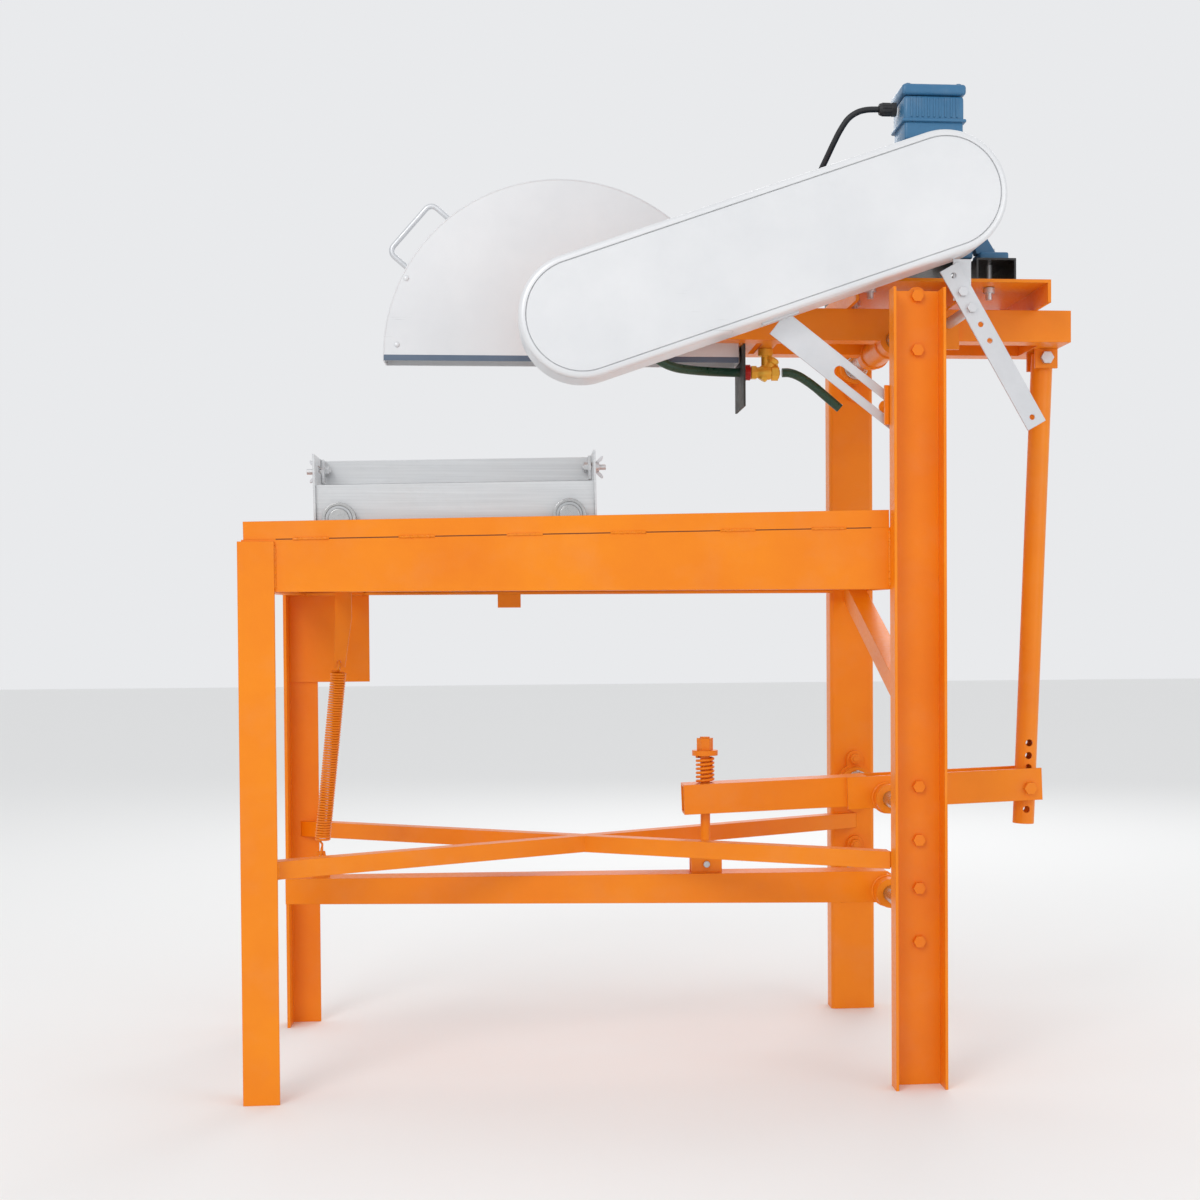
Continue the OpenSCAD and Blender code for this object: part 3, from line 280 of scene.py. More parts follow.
def tidy_normals(piece, sharp=35):
    work = bmesh.new()
    work.from_mesh(piece.data)
    bmesh.ops.recalc_face_normals(work, faces=work.faces)
    for face in work.faces:
        face.smooth = True
    for edge in work.edges:
        flat = len(edge.link_faces) == 2 and edge.calc_face_angle(0) < math.radians(sharp)
        edge.smooth = flat
    work.to_mesh(piece.data)
    work.free()


def smooth_route(points, steps=6):
    """Catmull-Rom curve through the points."""
    pts = [Vector(p) for p in points]
    pts = [2 * pts[0] - pts[1]] + pts + [2 * pts[-1] - pts[-2]]
    route = []
    for a, b, c, d in zip(pts, pts[1:], pts[2:], pts[3:]):
        for k in range(steps):
            t = k / steps
            route.append(0.5 * (2 * b + (c - a) * t + (2 * a - 5 * b + 4 * c - d) * t ** 2
                                + (3 * b - a - 3 * c + d) * t ** 3))
    return route + [pts[-2]]


def sweep(name, route, radius, sides=16, swell=None):
    """Round tube with flat ends; swell(i) scales the radius at each station."""
    route = [Vector(p) for p in route]
    ahead = (route[1] - route[0]).normalized()
    side = ahead.orthogonal().normalized()
    verts = []
    for i, p in enumerate(route):
        step = route[min(i + 1, len(route) - 1)] - route[max(i - 1, 0)]
        ahead = step.normalized()
        side = (side - ahead * side.dot(ahead)).normalized()
        third = ahead.cross(side)
        r = radius * (swell(i) if swell else 1)
        for k in range(sides):
            a = 2 * math.pi * k / sides
            verts.append(p + r * (math.cos(a) * side + math.sin(a) * third))
    faces = []
    for i in range(len(route) - 1):
        for k in range(sides):
            n = (k + 1) % sides
            faces.append((i * sides + k, i * sides + n, (i + 1) * sides + n, (i + 1) * sides + k))
    faces.append(tuple(range(sides)))
    faces.append(tuple((len(route) - 1) * sides + k for k in reversed(range(sides))))
    return make_piece(name, verts, faces)


def lathe(name, profile, at, axis, steps=48):
    """Turns (radius, height) points about an axis; a radius of 0 closes the end."""
    axis = Vector(axis).normalized()
    side = axis.orthogonal().normalized()
    third = axis.cross(side)
    verts, rings = [], []
    for r, h in profile:
        centre = Vector(at) + axis * h
        if r < 1e-7:
            rings.append([len(verts)])
            verts.append(centre)
            continue
        rings.append(list(range(len(verts), len(verts) + steps)))
        for k in range(steps):
            a = 2 * math.pi * k / steps
            verts.append(centre + r * (math.cos(a) * side + math.sin(a) * third))
    faces = []
    closed = len(rings[0]) > 1 and len(rings[-1]) > 1
    pairs = list(zip(rings, rings[1:])) + ([(rings[-1], rings[0])] if closed else [])
    for low, high in pairs:
        for k in range(steps):
            n = (k + 1) % steps
            if len(low) == 1 and len(high) == 1:
                continue
            if len(low) == 1:
                faces.append((low[0], high[n], high[k]))
            elif len(high) == 1:
                faces.append((low[k], low[n], high[0]))
            else:
                faces.append((low[k], low[n], high[n], high[k]))
    return make_piece(name, verts, faces)


def block(name, low, high, radius=0.001, segments=2):
    """Box between two corners with rounded edges."""
    piece = make_piece(name, [], [])
    work = bmesh.new()
    bmesh.ops.create_cube(work, size=1)
    low, high = Vector(low), Vector(high)
    for v in work.verts:
        v.co = Vector(((low + high) / 2)) + Vector((v.co.x * (high.x - low.x),
                       v.co.y * (high.y - low.y), v.co.z * (high.z - low.z)))
    if radius:
        bmesh.ops.bevel(work, geom=list(work.edges), offset=radius, segments=segments,
                        profile=0.5, affect="EDGES")
    work.to_mesh(piece.data)
    work.free()
    tidy_normals(piece)
    return piece


def prism(name, outline, low, high, axis="y"):
    """Solid with a flat outline of (u, v) points, drawn from low to high along an axis."""
    place = {"y": lambda u, v, t: (u, t, v), "x": lambda u, v, t: (t, u, v), "z": lambda u, v,
             t: (u, v, t)}[axis]
    n = len(outline)
    verts = [place(u, v, t) for t in (low, high) for u, v in outline]
    faces = [tuple(range(n)), tuple(reversed(range(n, 2 * n)))]
    faces += [(k, (k + 1) % n, n + (k + 1) % n, n + k) for k in range(n)]
    return make_piece(name, verts, faces)


def join(name, parts):
    """One object from several meshes."""
    work = bmesh.new()
    for part in parts:
        part.data.transform(part.matrix_world)
        work.from_mesh(part.data)
        bpy.data.objects.remove(part)
    piece = make_piece(name, [], [])
    work.to_mesh(piece.data)
    work.free()
    tidy_normals(piece)
    return piece


def hexagon(at, across, low, high, axis="y", turn=0.0):
    r = across / 2 / math.cos(math.pi / 6)
    outline = [(at[0] + r * math.cos(a), at[1] + r * math.sin(a))
               for a in (turn + k * math.pi / 3 for k in range(6))]
    return prism("hexagon", outline, low, high, axis)


def from_head(x, y, z):
    """A point given in millimetres from the head's pivot axis."""
    return head + Vector((x, y, z)) / 1000


print("tools ready")

# %% [markdown]
# ## The cable and hoses
# They lie exactly along the CAD routes, so the same points are repeated here, from
# the head's pivot. A smooth curve through them gives the centreline, and a round
# sweep along it gives the sheath.

# %% Routes
MOTOR_CABLE = [(-12, -122, 340), (-30, -122, 340), (-46, -122, 339), (-60, -121, 335), (-73, -118, 326),
               (-84, -112, 310), (-93, -103, 292), (-102, -91, 272), (-112, -76, 250), (-122, -59, 228),
               (-133, -40, 205), (-144, -20, 182), (-155, 0, 160), (-166, 19, 140), (-178, 37, 122),
               (-191, 53, 107), (-206, 66, 97), (-222, 74, 94), (-240, 78, 97), (-258, 78, 97)]
WATER_HOSE = [(-220, 0, -38), (-235, 0, -38), (-252, -3, -38), (-271, -9, -38), (-290, -18, -38),
              (-308, -27, -37.5), (-326, -36, -36), (-343, -42, -31), (-358, -44.5, -22),
              (-370, -45, -10), (-379, -45, 7), (-383, -45, 24), (-383, -45, 38)]
HOSE_TAIL = [(-158, 0, -38), (-147, 0, -38), (-134, 0, -42), (-120, 0, -50), (-106, 0, -60),
             (-93, 0, -71), (-80, 0, -82), (-67, 0, -93)]


def route_of(points):
    return smooth_route([from_head(*p) for p in points])


def length_of(route):
    return sum((b - a).length for a, b in zip(route, route[1:]))


cable_route, hose_route, tail_route = (route_of(p) for p in (MOTOR_CABLE, WATER_HOSE, HOSE_TAIL))
CABLE_D, HOSE_D = 0.009, 0.014
motor_cable = sweep("motor_cable_sheath", cable_route, CABLE_D / 2)
water_hose = sweep("water_hose_tube", hose_route, HOSE_D / 2, 20)
tail = [from_head(*HOSE_TAIL[0])] + tail_route[1:]
hose_tail = sweep("hose_tail_tube", tail, HOSE_D / 2, 20)
for piece, node, body_slot in ((motor_cable, "motor_cable", "cable_sheath"),
                               (water_hose, "water_hose", "hose_rubber"),
                               (hose_tail, "hose_tail", "hose_rubber")):
    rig.ride(piece, "head")
    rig.replaces(piece, node)
    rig.slot(piece, body_slot)
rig.cord(motor_cable, exit=cable_route[0], length=length_of(cable_route), diameter=CABLE_D,
        far_end="object", stiffness="medium", lay="hanging", path=cable_route)
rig.cord(water_hose, exit=hose_route[0], length=length_of(hose_route), diameter=HOSE_D,
        far_end="object", stiffness="stiff", lay="hanging", path=hose_route)
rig.cord(hose_tail, exit=tail[0], length=length_of(tail), diameter=HOSE_D,
        far_end="bare", stiffness="stiff", lay="hanging", path=tail)
print("cable", round(length_of(cable_route), 3), "hose", round(length_of(hose_route), 3),
      "tail", round(length_of(tail), 3))

# %% [markdown]
# ## Finishes
# Three effects are shared by nearly every surface, so each is a node group. Edge
# wear compares a slightly rounded normal with the true one: they differ only along
# edges. Grime is a slow blotchy noise. Brushed stretches a noise into fine lines.


# %% Node groups
def new_group(name, inputs, outputs):
    tree = bpy.data.node_groups.new(name, "ShaderNodeTree")
    for label, value in inputs:
        socket = tree.interface.new_socket(label, in_out="INPUT", socket_type="NodeSocketFloat")
        socket.default_value = value
    for label, kind in outputs:
        tree.interface.new_socket(label, in_out="OUTPUT", socket_type=kind)
    return tree, tree.nodes.new("NodeGroupInput"), tree.nodes.new("NodeGroupOutput")


def add_node(tree, kind, links=(), **settings):
    """A node with its settings, fed by (input, source socket or value) pairs."""
    node = tree.nodes.new(kind)
    for key, value in settings.items():
        setattr(node, key, value)
    for target, source in links:
        if hasattr(source, "is_output"):
            tree.links.new(source, node.inputs[target])
        else:
            node.inputs[target].default_value = source
    return node


def edge_wear_group():
    tree, given, result = new_group("edge_wear", [("Radius", 0.0015), ("Amount", 0.5), ("Scale", 60)],
                                    [("Mask", "NodeSocketFloat"), ("Normal", "NodeSocketVector")])
    bevel = add_node(tree, "ShaderNodeBevel", [("Radius", given.outputs["Radius"])], samples=6)
    geometry = tree.nodes.new("ShaderNodeNewGeometry")
    dot = add_node(tree, "ShaderNodeVectorMath",
                   [(0, bevel.outputs[0]), (1, geometry.outputs["Normal"])],
                   operation="DOT_PRODUCT")
    edge = add_node(tree, "ShaderNodeMath", [(0, 1.0), (1, dot.outputs["Value"])], operation="SUBTRACT")
    place = tree.nodes.new("ShaderNodeTexCoord")
    noise = add_node(tree, "ShaderNodeTexNoise", [("Vector", place.outputs["Object"]),
                     ("Scale", given.outputs["Scale"]), ("Detail", 6.0), ("Roughness", 0.65)])
    patchy = add_node(tree, "ShaderNodeMapRange", [(0, noise.outputs["Fac"]), (1, 0.52), (2, 0.68)])
    strong = add_node(tree, "ShaderNodeMapRange", [(0, edge.outputs[0]), (1, 0.04), (2, 0.22)])
    both = add_node(tree, "ShaderNodeMath", [(0, patchy.outputs[0]), (1, strong.outputs[0])],
                    operation="MULTIPLY")
    mask = add_node(tree, "ShaderNodeMath", [(0, both.outputs[0]), (1, given.outputs["Amount"])],
                    operation="MULTIPLY", use_clamp=True)
    tree.links.new(mask.outputs[0], result.inputs["Mask"])
    tree.links.new(bevel.outputs[0], result.inputs["Normal"])
    return tree


def grime_group():
    tree, given, result = new_group("grime", [("Scale", 6), ("Low", 0.45), ("High", 0.75)],
                                    [("Fac", "NodeSocketFloat"), ("Fine", "NodeSocketFloat")])
    place = tree.nodes.new("ShaderNodeTexCoord")
    slow = add_node(tree, "ShaderNodeTexNoise", [("Vector", place.outputs["Object"]),
                    ("Scale", given.outputs["Scale"]), ("Detail", 8.0), ("Roughness", 0.6)])
    fine = add_node(tree, "ShaderNodeTexNoise", [("Vector", place.outputs["Object"]),
                    ("Scale", 180.0), ("Detail", 3.0)])
    range_ = add_node(tree, "ShaderNodeMapRange", [(0, slow.outputs["Fac"]), (1, given.outputs["Low"]),
                      (2, given.outputs["High"])])
    tree.links.new(range_.outputs[0], result.inputs["Fac"])
    tree.links.new(fine.outputs["Fac"], result.inputs["Fine"])
    return tree


def brushed_group():
    tree, given, result = new_group("brushed", [("Along", 8), ("Across", 900)],
                                    [("Fac", "NodeSocketFloat")])
    place = tree.nodes.new("ShaderNodeTexCoord")
    scale = add_node(tree, "ShaderNodeCombineXYZ", [(0, given.outputs["Along"]),
                     (1, given.outputs["Across"]), (2, given.outputs["Across"])])
    stretched = add_node(tree, "ShaderNodeVectorMath", [(0, place.outputs["Object"]),
                         (1, scale.outputs[0])], operation="MULTIPLY")
    noise = add_node(tree, "ShaderNodeTexNoise", [("Vector", stretched.outputs[0]), ("Scale", 1.0),
                     ("Detail", 4.0)])
    tree.links.new(noise.outputs["Fac"], result.inputs["Fac"])
    return tree


edge_wear, grime, brushed = edge_wear_group(), grime_group(), brushed_group()
print("groups", [g.name for g in bpy.data.node_groups])


# %% [markdown]
# Every finish mixes the same layers in the same order: a base colour that drifts a
# little, dust in the hollows of the noise, then bare metal where edges have worn.
# Numbers that are the same all over sit on the shader's own sockets.

# %% Finish builder
def group_node(tree, group, **values):
    node = tree.nodes.new("ShaderNodeGroup")
    node.node_tree = group
    for key, value in values.items():
        node.inputs[key].default_value = value
    return node


def mix_colour(tree, factor, first, second):
    node = tree.nodes.new("ShaderNodeMix")
    node.data_type = "RGBA"
    for target, source in (("Factor", factor), ("A", first), ("B", second)):
        socket = [s for s in node.inputs if s.name == target and s.enabled][0]
        if hasattr(source, "is_output"):
            tree.links.new(source, socket)
        else:
            socket.default_value = source if target == "Factor" else (*source, 1)
    return [s for s in node.outputs if s.enabled][0]


def finish_of(name, colour, drift, rough, metal=0.0, coat=0.0, gloss=0.5, worn=None, wear=0.0,
              dust=None,
              dust_share=0.0, bump=0.1, bump_scale=350.0, edge=0.0012, brush=None, scratches=0.0):
    material = bpy.data.materials.new(name)
    material.use_nodes = True
    tree = material.node_tree
    shader = tree.nodes["Principled BSDF"]
    shader.inputs["Metallic"].default_value = metal
    shader.inputs["Coat Weight"].default_value = coat
    shader.inputs["Coat Roughness"].default_value = 0.18
    shader.inputs["Specular IOR Level"].default_value = gloss
    place = tree.nodes.new("ShaderNodeTexCoord")
    wear_node = group_node(tree, edge_wear, Radius=edge, Amount=wear, Scale=70)
    blotch = group_node(tree, grime, Scale=5, Low=0.35, High=0.7)
    base = mix_colour(tree, blotch.outputs["Fac"], colour, drift)
    rough_low, rough_high = rough
    roughness = add_node(tree, "ShaderNodeMapRange", [(0, blotch.outputs["Fine"]), (1, 0.3), (2, 0.7),
                         (3, rough_low), (4, rough_high)])
    height = add_node(tree, "ShaderNodeTexNoise", [("Vector", place.outputs["Object"]),
                      ("Scale", bump_scale), ("Detail", 2.0)]).outputs["Fac"]
    if brush:
        lines = group_node(tree, brushed, Along=brush[0], Across=brush[1])
        base = mix_colour(tree, lines.outputs["Fac"], [c * 0.86 for c in colour], drift)
        height = lines.outputs["Fac"]
    if scratches:
        warp = add_node(tree, "ShaderNodeTexNoise", [("Vector", place.outputs["Object"]),
                        ("Scale", 7.0), ("Detail", 2.0)])
        lean = add_node(tree, "ShaderNodeMapping", [("Vector", place.outputs["Object"]),
                        ("Rotation", (0.0, 0.42, 0.0)), ("Scale", (16.0, 3.0, 420.0))])
        bent = add_node(tree, "ShaderNodeVectorMath",
                        [(0, lean.outputs[0]), (1, warp.outputs["Color"])],
                        operation="ADD")
        streak = add_node(tree, "ShaderNodeTexNoise", [("Vector", bent.outputs[0]), ("Scale", 1.0),
                          ("Detail", 3.0)])
        sparse = group_node(tree, grime, Scale=3.2, Low=0.56, High=0.62)
        line = add_node(tree, "ShaderNodeMapRange", [(0, streak.outputs["Fac"]), (1, 0.68), (2, 0.71),
                        (3, 0.0), (4, scratches)])
        thin = add_node(tree, "ShaderNodeMath", [(0, line.outputs[0]), (1, sparse.outputs["Fac"])],
                        operation="MULTIPLY")
        base = mix_colour(tree, thin.outputs[0], base, [c * 0.45 for c in colour])
    if dust:
        film = group_node(tree, grime, Scale=14, Low=0.5, High=0.8)
        share = add_node(tree, "ShaderNodeMath", [(0, film.outputs["Fac"]), (1, dust_share)],
                         operation="MULTIPLY")
        base = mix_colour(tree, share.outputs[0], base, dust)
    if worn:
        base = mix_colour(tree, wear_node.outputs["Mask"], base, worn)
    bump_node = add_node(tree, "ShaderNodeBump", [("Height", height), ("Strength", bump),
                         ("Distance", 0.0004), ("Normal", wear_node.outputs["Normal"])])
    tree.links.new(base, shader.inputs["Base Color"])
    tree.links.new(roughness.outputs[0], shader.inputs["Roughness"])
    tree.links.new(bump_node.outputs[0], shader.inputs["Normal"])
    return material


# %% [markdown]
# The frame is sprayed orange enamel that has run a little thin on the edges. The
# guards are silver-white, the cart is pale zinc, and the motor is blue machine
# paint. Rubber, brass and black plastic finish the list.

# %% Finishes
primer, bare_steel, stone_dust = (0.30, 0.09, 0.02), (0.42, 0.40, 0.38), (0.62, 0.55, 0.48)
ORANGE, ORANGE_DEEP = (0.90, 0.255, 0.001), (0.83, 0.205, 0.001)
finishes = {
    "frame_paint": finish_of("frame_paint", ORANGE, ORANGE_DEEP, (0.32, 0.48), coat=0.06, gloss=0.32,
                             worn=primer,
                             wear=0.7, dust=stone_dust, dust_share=0.05, bump=0.16, bump_scale=260),
    "guard_paint": finish_of("guard_paint", (0.72, 0.73, 0.745), (0.79, 0.795, 0.805), (0.32, 0.44),
                             metal=0.2, coat=0.2, worn=bare_steel, wear=0.6, bump=0.05, scratches=0.35),
    "cart_steel": finish_of("cart_steel", (0.62, 0.63, 0.64), (0.74, 0.75, 0.76), (0.30, 0.46),
                            metal=0.5,
                            worn=(0.5, 0.5, 0.5), wear=0.5, dust=stone_dust, dust_share=0.10,
                            bump=0.08, brush=(6, 420)),
    "galvanised": finish_of("galvanised", (0.60, 0.61, 0.63), (0.72, 0.73, 0.75), (0.34, 0.52),
                            metal=0.7,
                            worn=(0.35, 0.34, 0.33), wear=0.5, bump=0.12, bump_scale=90),
    "bright_steel": finish_of("bright_steel", (0.50, 0.50, 0.50), (0.60, 0.60, 0.59), (0.22, 0.36),
                              metal=1.0, worn=(0.3, 0.28, 0.26), wear=0.3, bump=0.06, bump_scale=420),
    "motor_paint": finish_of("motor_paint", (0.030, 0.145, 0.29), (0.045, 0.185, 0.35), (0.38, 0.55),
                             coat=0.2, worn=(0.25, 0.27, 0.30), wear=0.5, dust=stone_dust,
                             dust_share=0.12, bump=0.35, bump_scale=420),
    "black_paint": finish_of("black_paint", (0.014, 0.014, 0.015), (0.03, 0.03, 0.031), (0.3, 0.48),
                             coat=0.15,
                             worn=bare_steel, wear=0.7, dust=stone_dust, dust_share=0.08, bump=0.15),
    "black_plastic": finish_of("black_plastic", (0.018, 0.018, 0.020), (0.03, 0.03, 0.032),
                               (0.45, 0.62),
                               dust=stone_dust, dust_share=0.06, bump=0.2, bump_scale=900),
    "cable_sheath": finish_of("cable_sheath", (0.012, 0.013, 0.016), (0.02, 0.022, 0.026), (0.4, 0.55),
                              bump=0.1, bump_scale=500),
    "hose_rubber": finish_of("hose_rubber", (0.012, 0.06, 0.03), (0.02, 0.08, 0.045), (0.25, 0.4),
                             bump=0.15, bump_scale=700, dust=stone_dust, dust_share=0.05),
    "flap_rubber": finish_of("flap_rubber", (0.03, 0.035, 0.032), (0.045, 0.05, 0.046), (0.55, 0.75),
                             bump=0.4, bump_scale=300, dust=stone_dust, dust_share=0.2),
    "belt_rubber": finish_of("belt_rubber", (0.02, 0.02, 0.02), (0.035, 0.035, 0.035), (0.6, 0.8),
                             bump=0.5, bump_scale=800),
    "brass": finish_of("brass", (0.86, 0.50, 0.045), (0.92, 0.60, 0.08), (0.28, 0.42), metal=0.35,
                       worn=(0.55, 0.33, 0.10), wear=0.5, bump=0.15, bump_scale=300),
    "green_plastic": finish_of("green_plastic", (0.02, 0.32, 0.07), (0.03, 0.38, 0.09), (0.25, 0.35),
                               coat=0.4, bump=0.05),
    "red_plastic": finish_of("red_plastic", (0.62, 0.02, 0.015), (0.70, 0.03, 0.02), (0.25, 0.35),
                             coat=0.4, bump=0.05),
    "switch_plastic": finish_of("switch_plastic", (0.22, 0.24, 0.26), (0.27, 0.29, 0.31), (0.4, 0.55),
                                bump=0.3, bump_scale=900),
}
# Blue-black colour of the guard's lower edge strip, which is painted shade.
rim_shade_blue = finish_of("rim_shade_blue", (0.10, 0.14, 0.20), (0.16, 0.20, 0.26), (0.3, 0.45), metal=0.6,
                     bump=0.1)
shield_zinc = finish_of("shield_zinc", (0.46, 0.47, 0.48), (0.56, 0.57, 0.58), (0.35, 0.5), metal=0.8,
                        bump=0.1)
seam_shadow = finish_of("seam_shadow", (0.16, 0.035, 0.004), (0.24, 0.055, 0.006), (0.6, 0.8), bump=0.3)
contact_pin = finish_of("contact_pin", (0.55, 0.48, 0.33), (0.62, 0.55, 0.40), (0.2, 0.3), metal=1.0)
print(len(finishes), "finishes")

# %% CAD nodes take their finishes
slot_of = {s["node"]: s["material_slot"] for s in frame["record"]["subparts"]}
for name, node in nodes.items():
    if not node.material_slots:
        node.data.materials.append(None)
    for material_slot in node.material_slots:
        material_slot.material = finishes[slot_of[name]]
print("painted", len(nodes), "nodes")


def place(piece, body, finish, stands_for=(), material=None):
    """Paints a finished piece and lets it ride on its body."""
    piece.data.materials.clear()
    piece.data.materials.append(material or finishes[finish])
    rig.ride(piece, body)
    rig.slot(piece, finish)
    if stands_for:
        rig.replaces(piece, *stands_for)
    return piece


for piece, finish in ((motor_cable, "cable_sheath"), (water_hose, "hose_rubber"),
                      (hose_tail, "hose_rubber")):
    piece.data.materials.append(finishes[finish])

# %% [markdown]
# ## Springs
# CAD holds each spring as a plain sleeve. The real ones are wound wire, so a helix
# is computed and a thin round section is swept along it. The long return spring
# stretches as the pedal goes down: its top follows the frame and its foot the pedal.

# %% Return spring
hook_top = Vector((-0.502, 0, 0.6089))
hook_low = Vector((-0.533, 0, 0.311))
WIRE, HOOK_R, SPRING_R = 0.0036, 0.007, 0.0102


def helix(low, high, radius, turns, per_turn=18, start=0.0):
    axis = (high - low).normalized()
    side = axis.cross(Vector((0, 1, 0))).normalized()
    third = axis.cross(side)
    count = int(turns * per_turn)
    return [low + (high - low) * (i / count) + radius * (math.cos(start + 2 * math.pi * i / per_turn) * side
            + math.sin(start + 2 * math.pi * i / per_turn) * third) for i in range(count + 1)]


axis = (hook_top - hook_low).normalized()
turns = 66
coil = helix(hook_low + axis * 0.0255, hook_top - axis * 0.0165, SPRING_R, turns)


def hook(at, towards):
    """Open ring round a hook point, ending on the spring's axis."""
    centre = at + towards * HOOK_R
    steps = 26
    return [centre + HOOK_R * (-math.cos(a) * towards + math.sin(a) * Vector((0, 1, 0)))
            for a in (math.radians(-150 + 330 * k / steps) for k in range(steps + 1))]


low_hook = hook(hook_low, axis) + [hook_low + axis * 0.019, (hook_low + axis * 0.0225 + coil[0]) / 2]
high_hook = hook(hook_top, -axis) + [hook_top - axis * 0.0150,
    (hook_top - axis * 0.0160 + coil[-1]) / 2]
wire = smooth_route(low_hook, 2) + coil + list(reversed(smooth_route(high_hook, 2)))
return_spring = sweep("return_spring_wire", wire, WIRE / 2, 8)
return_spring.data.materials.append(finishes["frame_paint"])
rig.replaces(return_spring, "return_spring")
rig.slot(return_spring, "frame_paint")
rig.blend(return_spring, "frame", "pedal", start=hook_top - axis * 0.03, end=hook_low + axis * 0.045)
print("return spring wire", round(length_of(wire), 2), "m")

# %% Pull rod spring
low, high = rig.box("rod_spring")
centre = (low + high) / 2
bottom = Vector((centre.x, centre.y, low.z + 0.0022))
top = Vector((centre.x, centre.y, high.z - 0.0022))
loops = helix(bottom, top, 0.0128, 6, 20)
rod_spring = sweep("rod_spring_wire", loops, 0.0021, 10)
place(rod_spring, "rod", "frame_paint", ["rod_spring"])
print("rod spring", len(loops), "stations")

# %% [markdown]
# ## Belt guard
# The guard is a pressed pan: two half circles and two straight sides, with a
# rounded lip that stands just proud of its face. A cross section of the lip is
# carried round the stadium outline, so lip and wall stay the same width everywhere.

# %% Belt guard
low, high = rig.box("belt_guard_cover")
R = 0.088
lower_end = Vector((low.x + R, 0, low.z + R))
upper_end = Vector((high.x - R, 0, high.z - R))
lean = (upper_end - lower_end).normalized()
across = Vector((-lean.z, 0, lean.x))


def stadium(grow, y, per_end=40):
    """Points round the guard's outline, moved out by grow, at depth y."""
    r = R + grow
    points = []
    for centre, first in ((upper_end, -90), (lower_end, 90)):
        for k in range(per_end + 1):
            a = math.radians(first + 180 * k / per_end)
            points.append(centre + r * (math.cos(a) * lean + math.sin(a) * across) + Vector((0, y, 0)))
    return points


front, back = low.y, high.y
lip = [(-0.002, back), (0, back), (0, front + 0.0075)]
lip += [(0.0075 * (math.cos(a) - 1), front + 0.0075 * (1 - math.sin(a)))
        for a in (math.radians(15 * k) for k in range(1, 7))]
lip += [(-0.0096, front), (-0.0098, front + 0.0028), (-0.0108, front + 0.0028),
        (-0.0110, front + 0.0008),
        (-0.0140, front + 0.0008)]
inner = [(-0.0140, front + 0.0042), (-0.002, front + 0.0105)]
loops = [stadium(g, y) for g, y in lip]
count = len(loops[0])
verts = [p for loop in loops for p in loop]
faces = [(i * count + k, i * count + (k + 1) % count, (i + 1) * count + (k + 1) % count,
          (i + 1) * count + k) for i in range(len(loops) - 1) for k in range(count)]
faces.append(tuple((len(loops) - 1) * count + k for k in range(count)))
base = len(verts)
inside = [stadium(g, y) for g, y in inner]
verts += [p for loop in inside for p in loop]
faces.append(tuple(base + k for k in reversed(range(count))))
faces += [(base + k, base + (k + 1) % count, base + count + (k + 1) % count, base + count + k)
          for k in range(count)]
faces += [(base + count + k, base + count + (k + 1) % count, (k + 1) % count, k) for k in range(count)]
belt_guard = make_piece("belt_guard_pan", verts, faces)
place(belt_guard, "head", "guard_paint", ["belt_guard_cover"])
print("belt guard", len(belt_guard.data.polygons), "faces")

# %% [markdown]
# ## Blade guard trim
# The half-round guard is folded sheet. A blue-black strip runs along its lower edge:
# it is painted shade for the dark inside of the guard seen from below. A rivet shows at
# the front corner on each side. A seam runs round where the curved band meets the flat side.

# %% Blade guard trim
guard_centre = from_head(-499, 0, -21)
GUARD_R, HALF = 0.271, 0.030
parts = []
# A thin strip on each side of the guard's lower edge, coloured blue-black as painted shade for the guard's dark
# inside.
for side in (-1, 1):
    y = side * (HALF + 0.0003)
    parts.append(block("rim", (guard_centre.x - GUARD_R + 0.001, min(y, y - side * 0.0006),
                               guard_centre.z - 0.006),
                       (guard_centre.x + GUARD_R - 0.001, max(y, y - side * 0.0006),
                        guard_centre.z + 0.0028), 0.0001, 1))
rim = join("guard_rim_shade", parts)
place(rim, "head", "guard_paint", material=rim_shade_blue)
parts = []
for side in (-1, 1):
    for x, z in ((-0.250, 0.018), (-0.235, 0.118)):
        at = guard_centre + Vector((x, side * HALF, z))
        profile = [(0.0045, 0), (0.0042, 0.0008), (0.003, 0.0018), (0, 0.0023)]
        parts.append(lathe("rivet", [(0, -0.001)] + profile, at, (0, side, 0), 20))
rivets = join("guard_rivets", parts)
place(rivets, "head", "guard_paint")
steps = 96
seams = []
for side in (-1, 1):
    ring = [guard_centre + Vector(((GUARD_R - 0.0012) * math.cos(a), side * (HALF - 0.0006),
        (GUARD_R - 0.0012) * math.sin(a)))
            for a in (math.radians(0.5 + 179 * k / steps) for k in range(steps + 1))]
    seams.append(sweep("seam", ring, 0.0011, 8))
seam = join("guard_seam", seams)
place(seam, "head", "guard_paint")
print("guard trim done")

# %% [markdown]
# ## Motor
# A totally enclosed motor has a ribbed barrel, two end shields, a pressed fan cover
# with an intake grille, feet, and a terminal box on top. The ribs come from one
# toothed outline that is drawn along the shaft.

# %% Motor barrel and shields
low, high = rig.box("motor_body")
axis_at = Vector((joint_at["motor_spin"].x, 0, joint_at["motor_spin"].z))
R_OUT, R_IN, RIBS = 0.0875, 0.0785, 46
outline = []
for k in range(RIBS):
    mid = 2 * math.pi * k / RIBS
    for r, offset in ((R_IN, -0.5), (R_IN, -0.20), (R_OUT, -0.13), (R_OUT, 0.13), (R_IN, 0.20)):
        a = mid + offset * 2 * math.pi / RIBS
        outline.append((axis_at.x + r * math.cos(a), axis_at.z + r * math.sin(a)))
barrel = prism("barrel", outline, low.y + 0.024, high.y - 0.016)
shield_front = lathe("shield", [(0, 0), (0.026, 0), (0.028, 0.002), (0.028, 0.006), (0.044, 0.007),
                                (0.046, 0.010),
                                (0.068, 0.014), (0.080, 0.019), (0.0835, 0.024), (0.0835, 0.031),
                                (0, 0.031)],
                     (axis_at.x, low.y, axis_at.z), (0, 1, 0), 64)
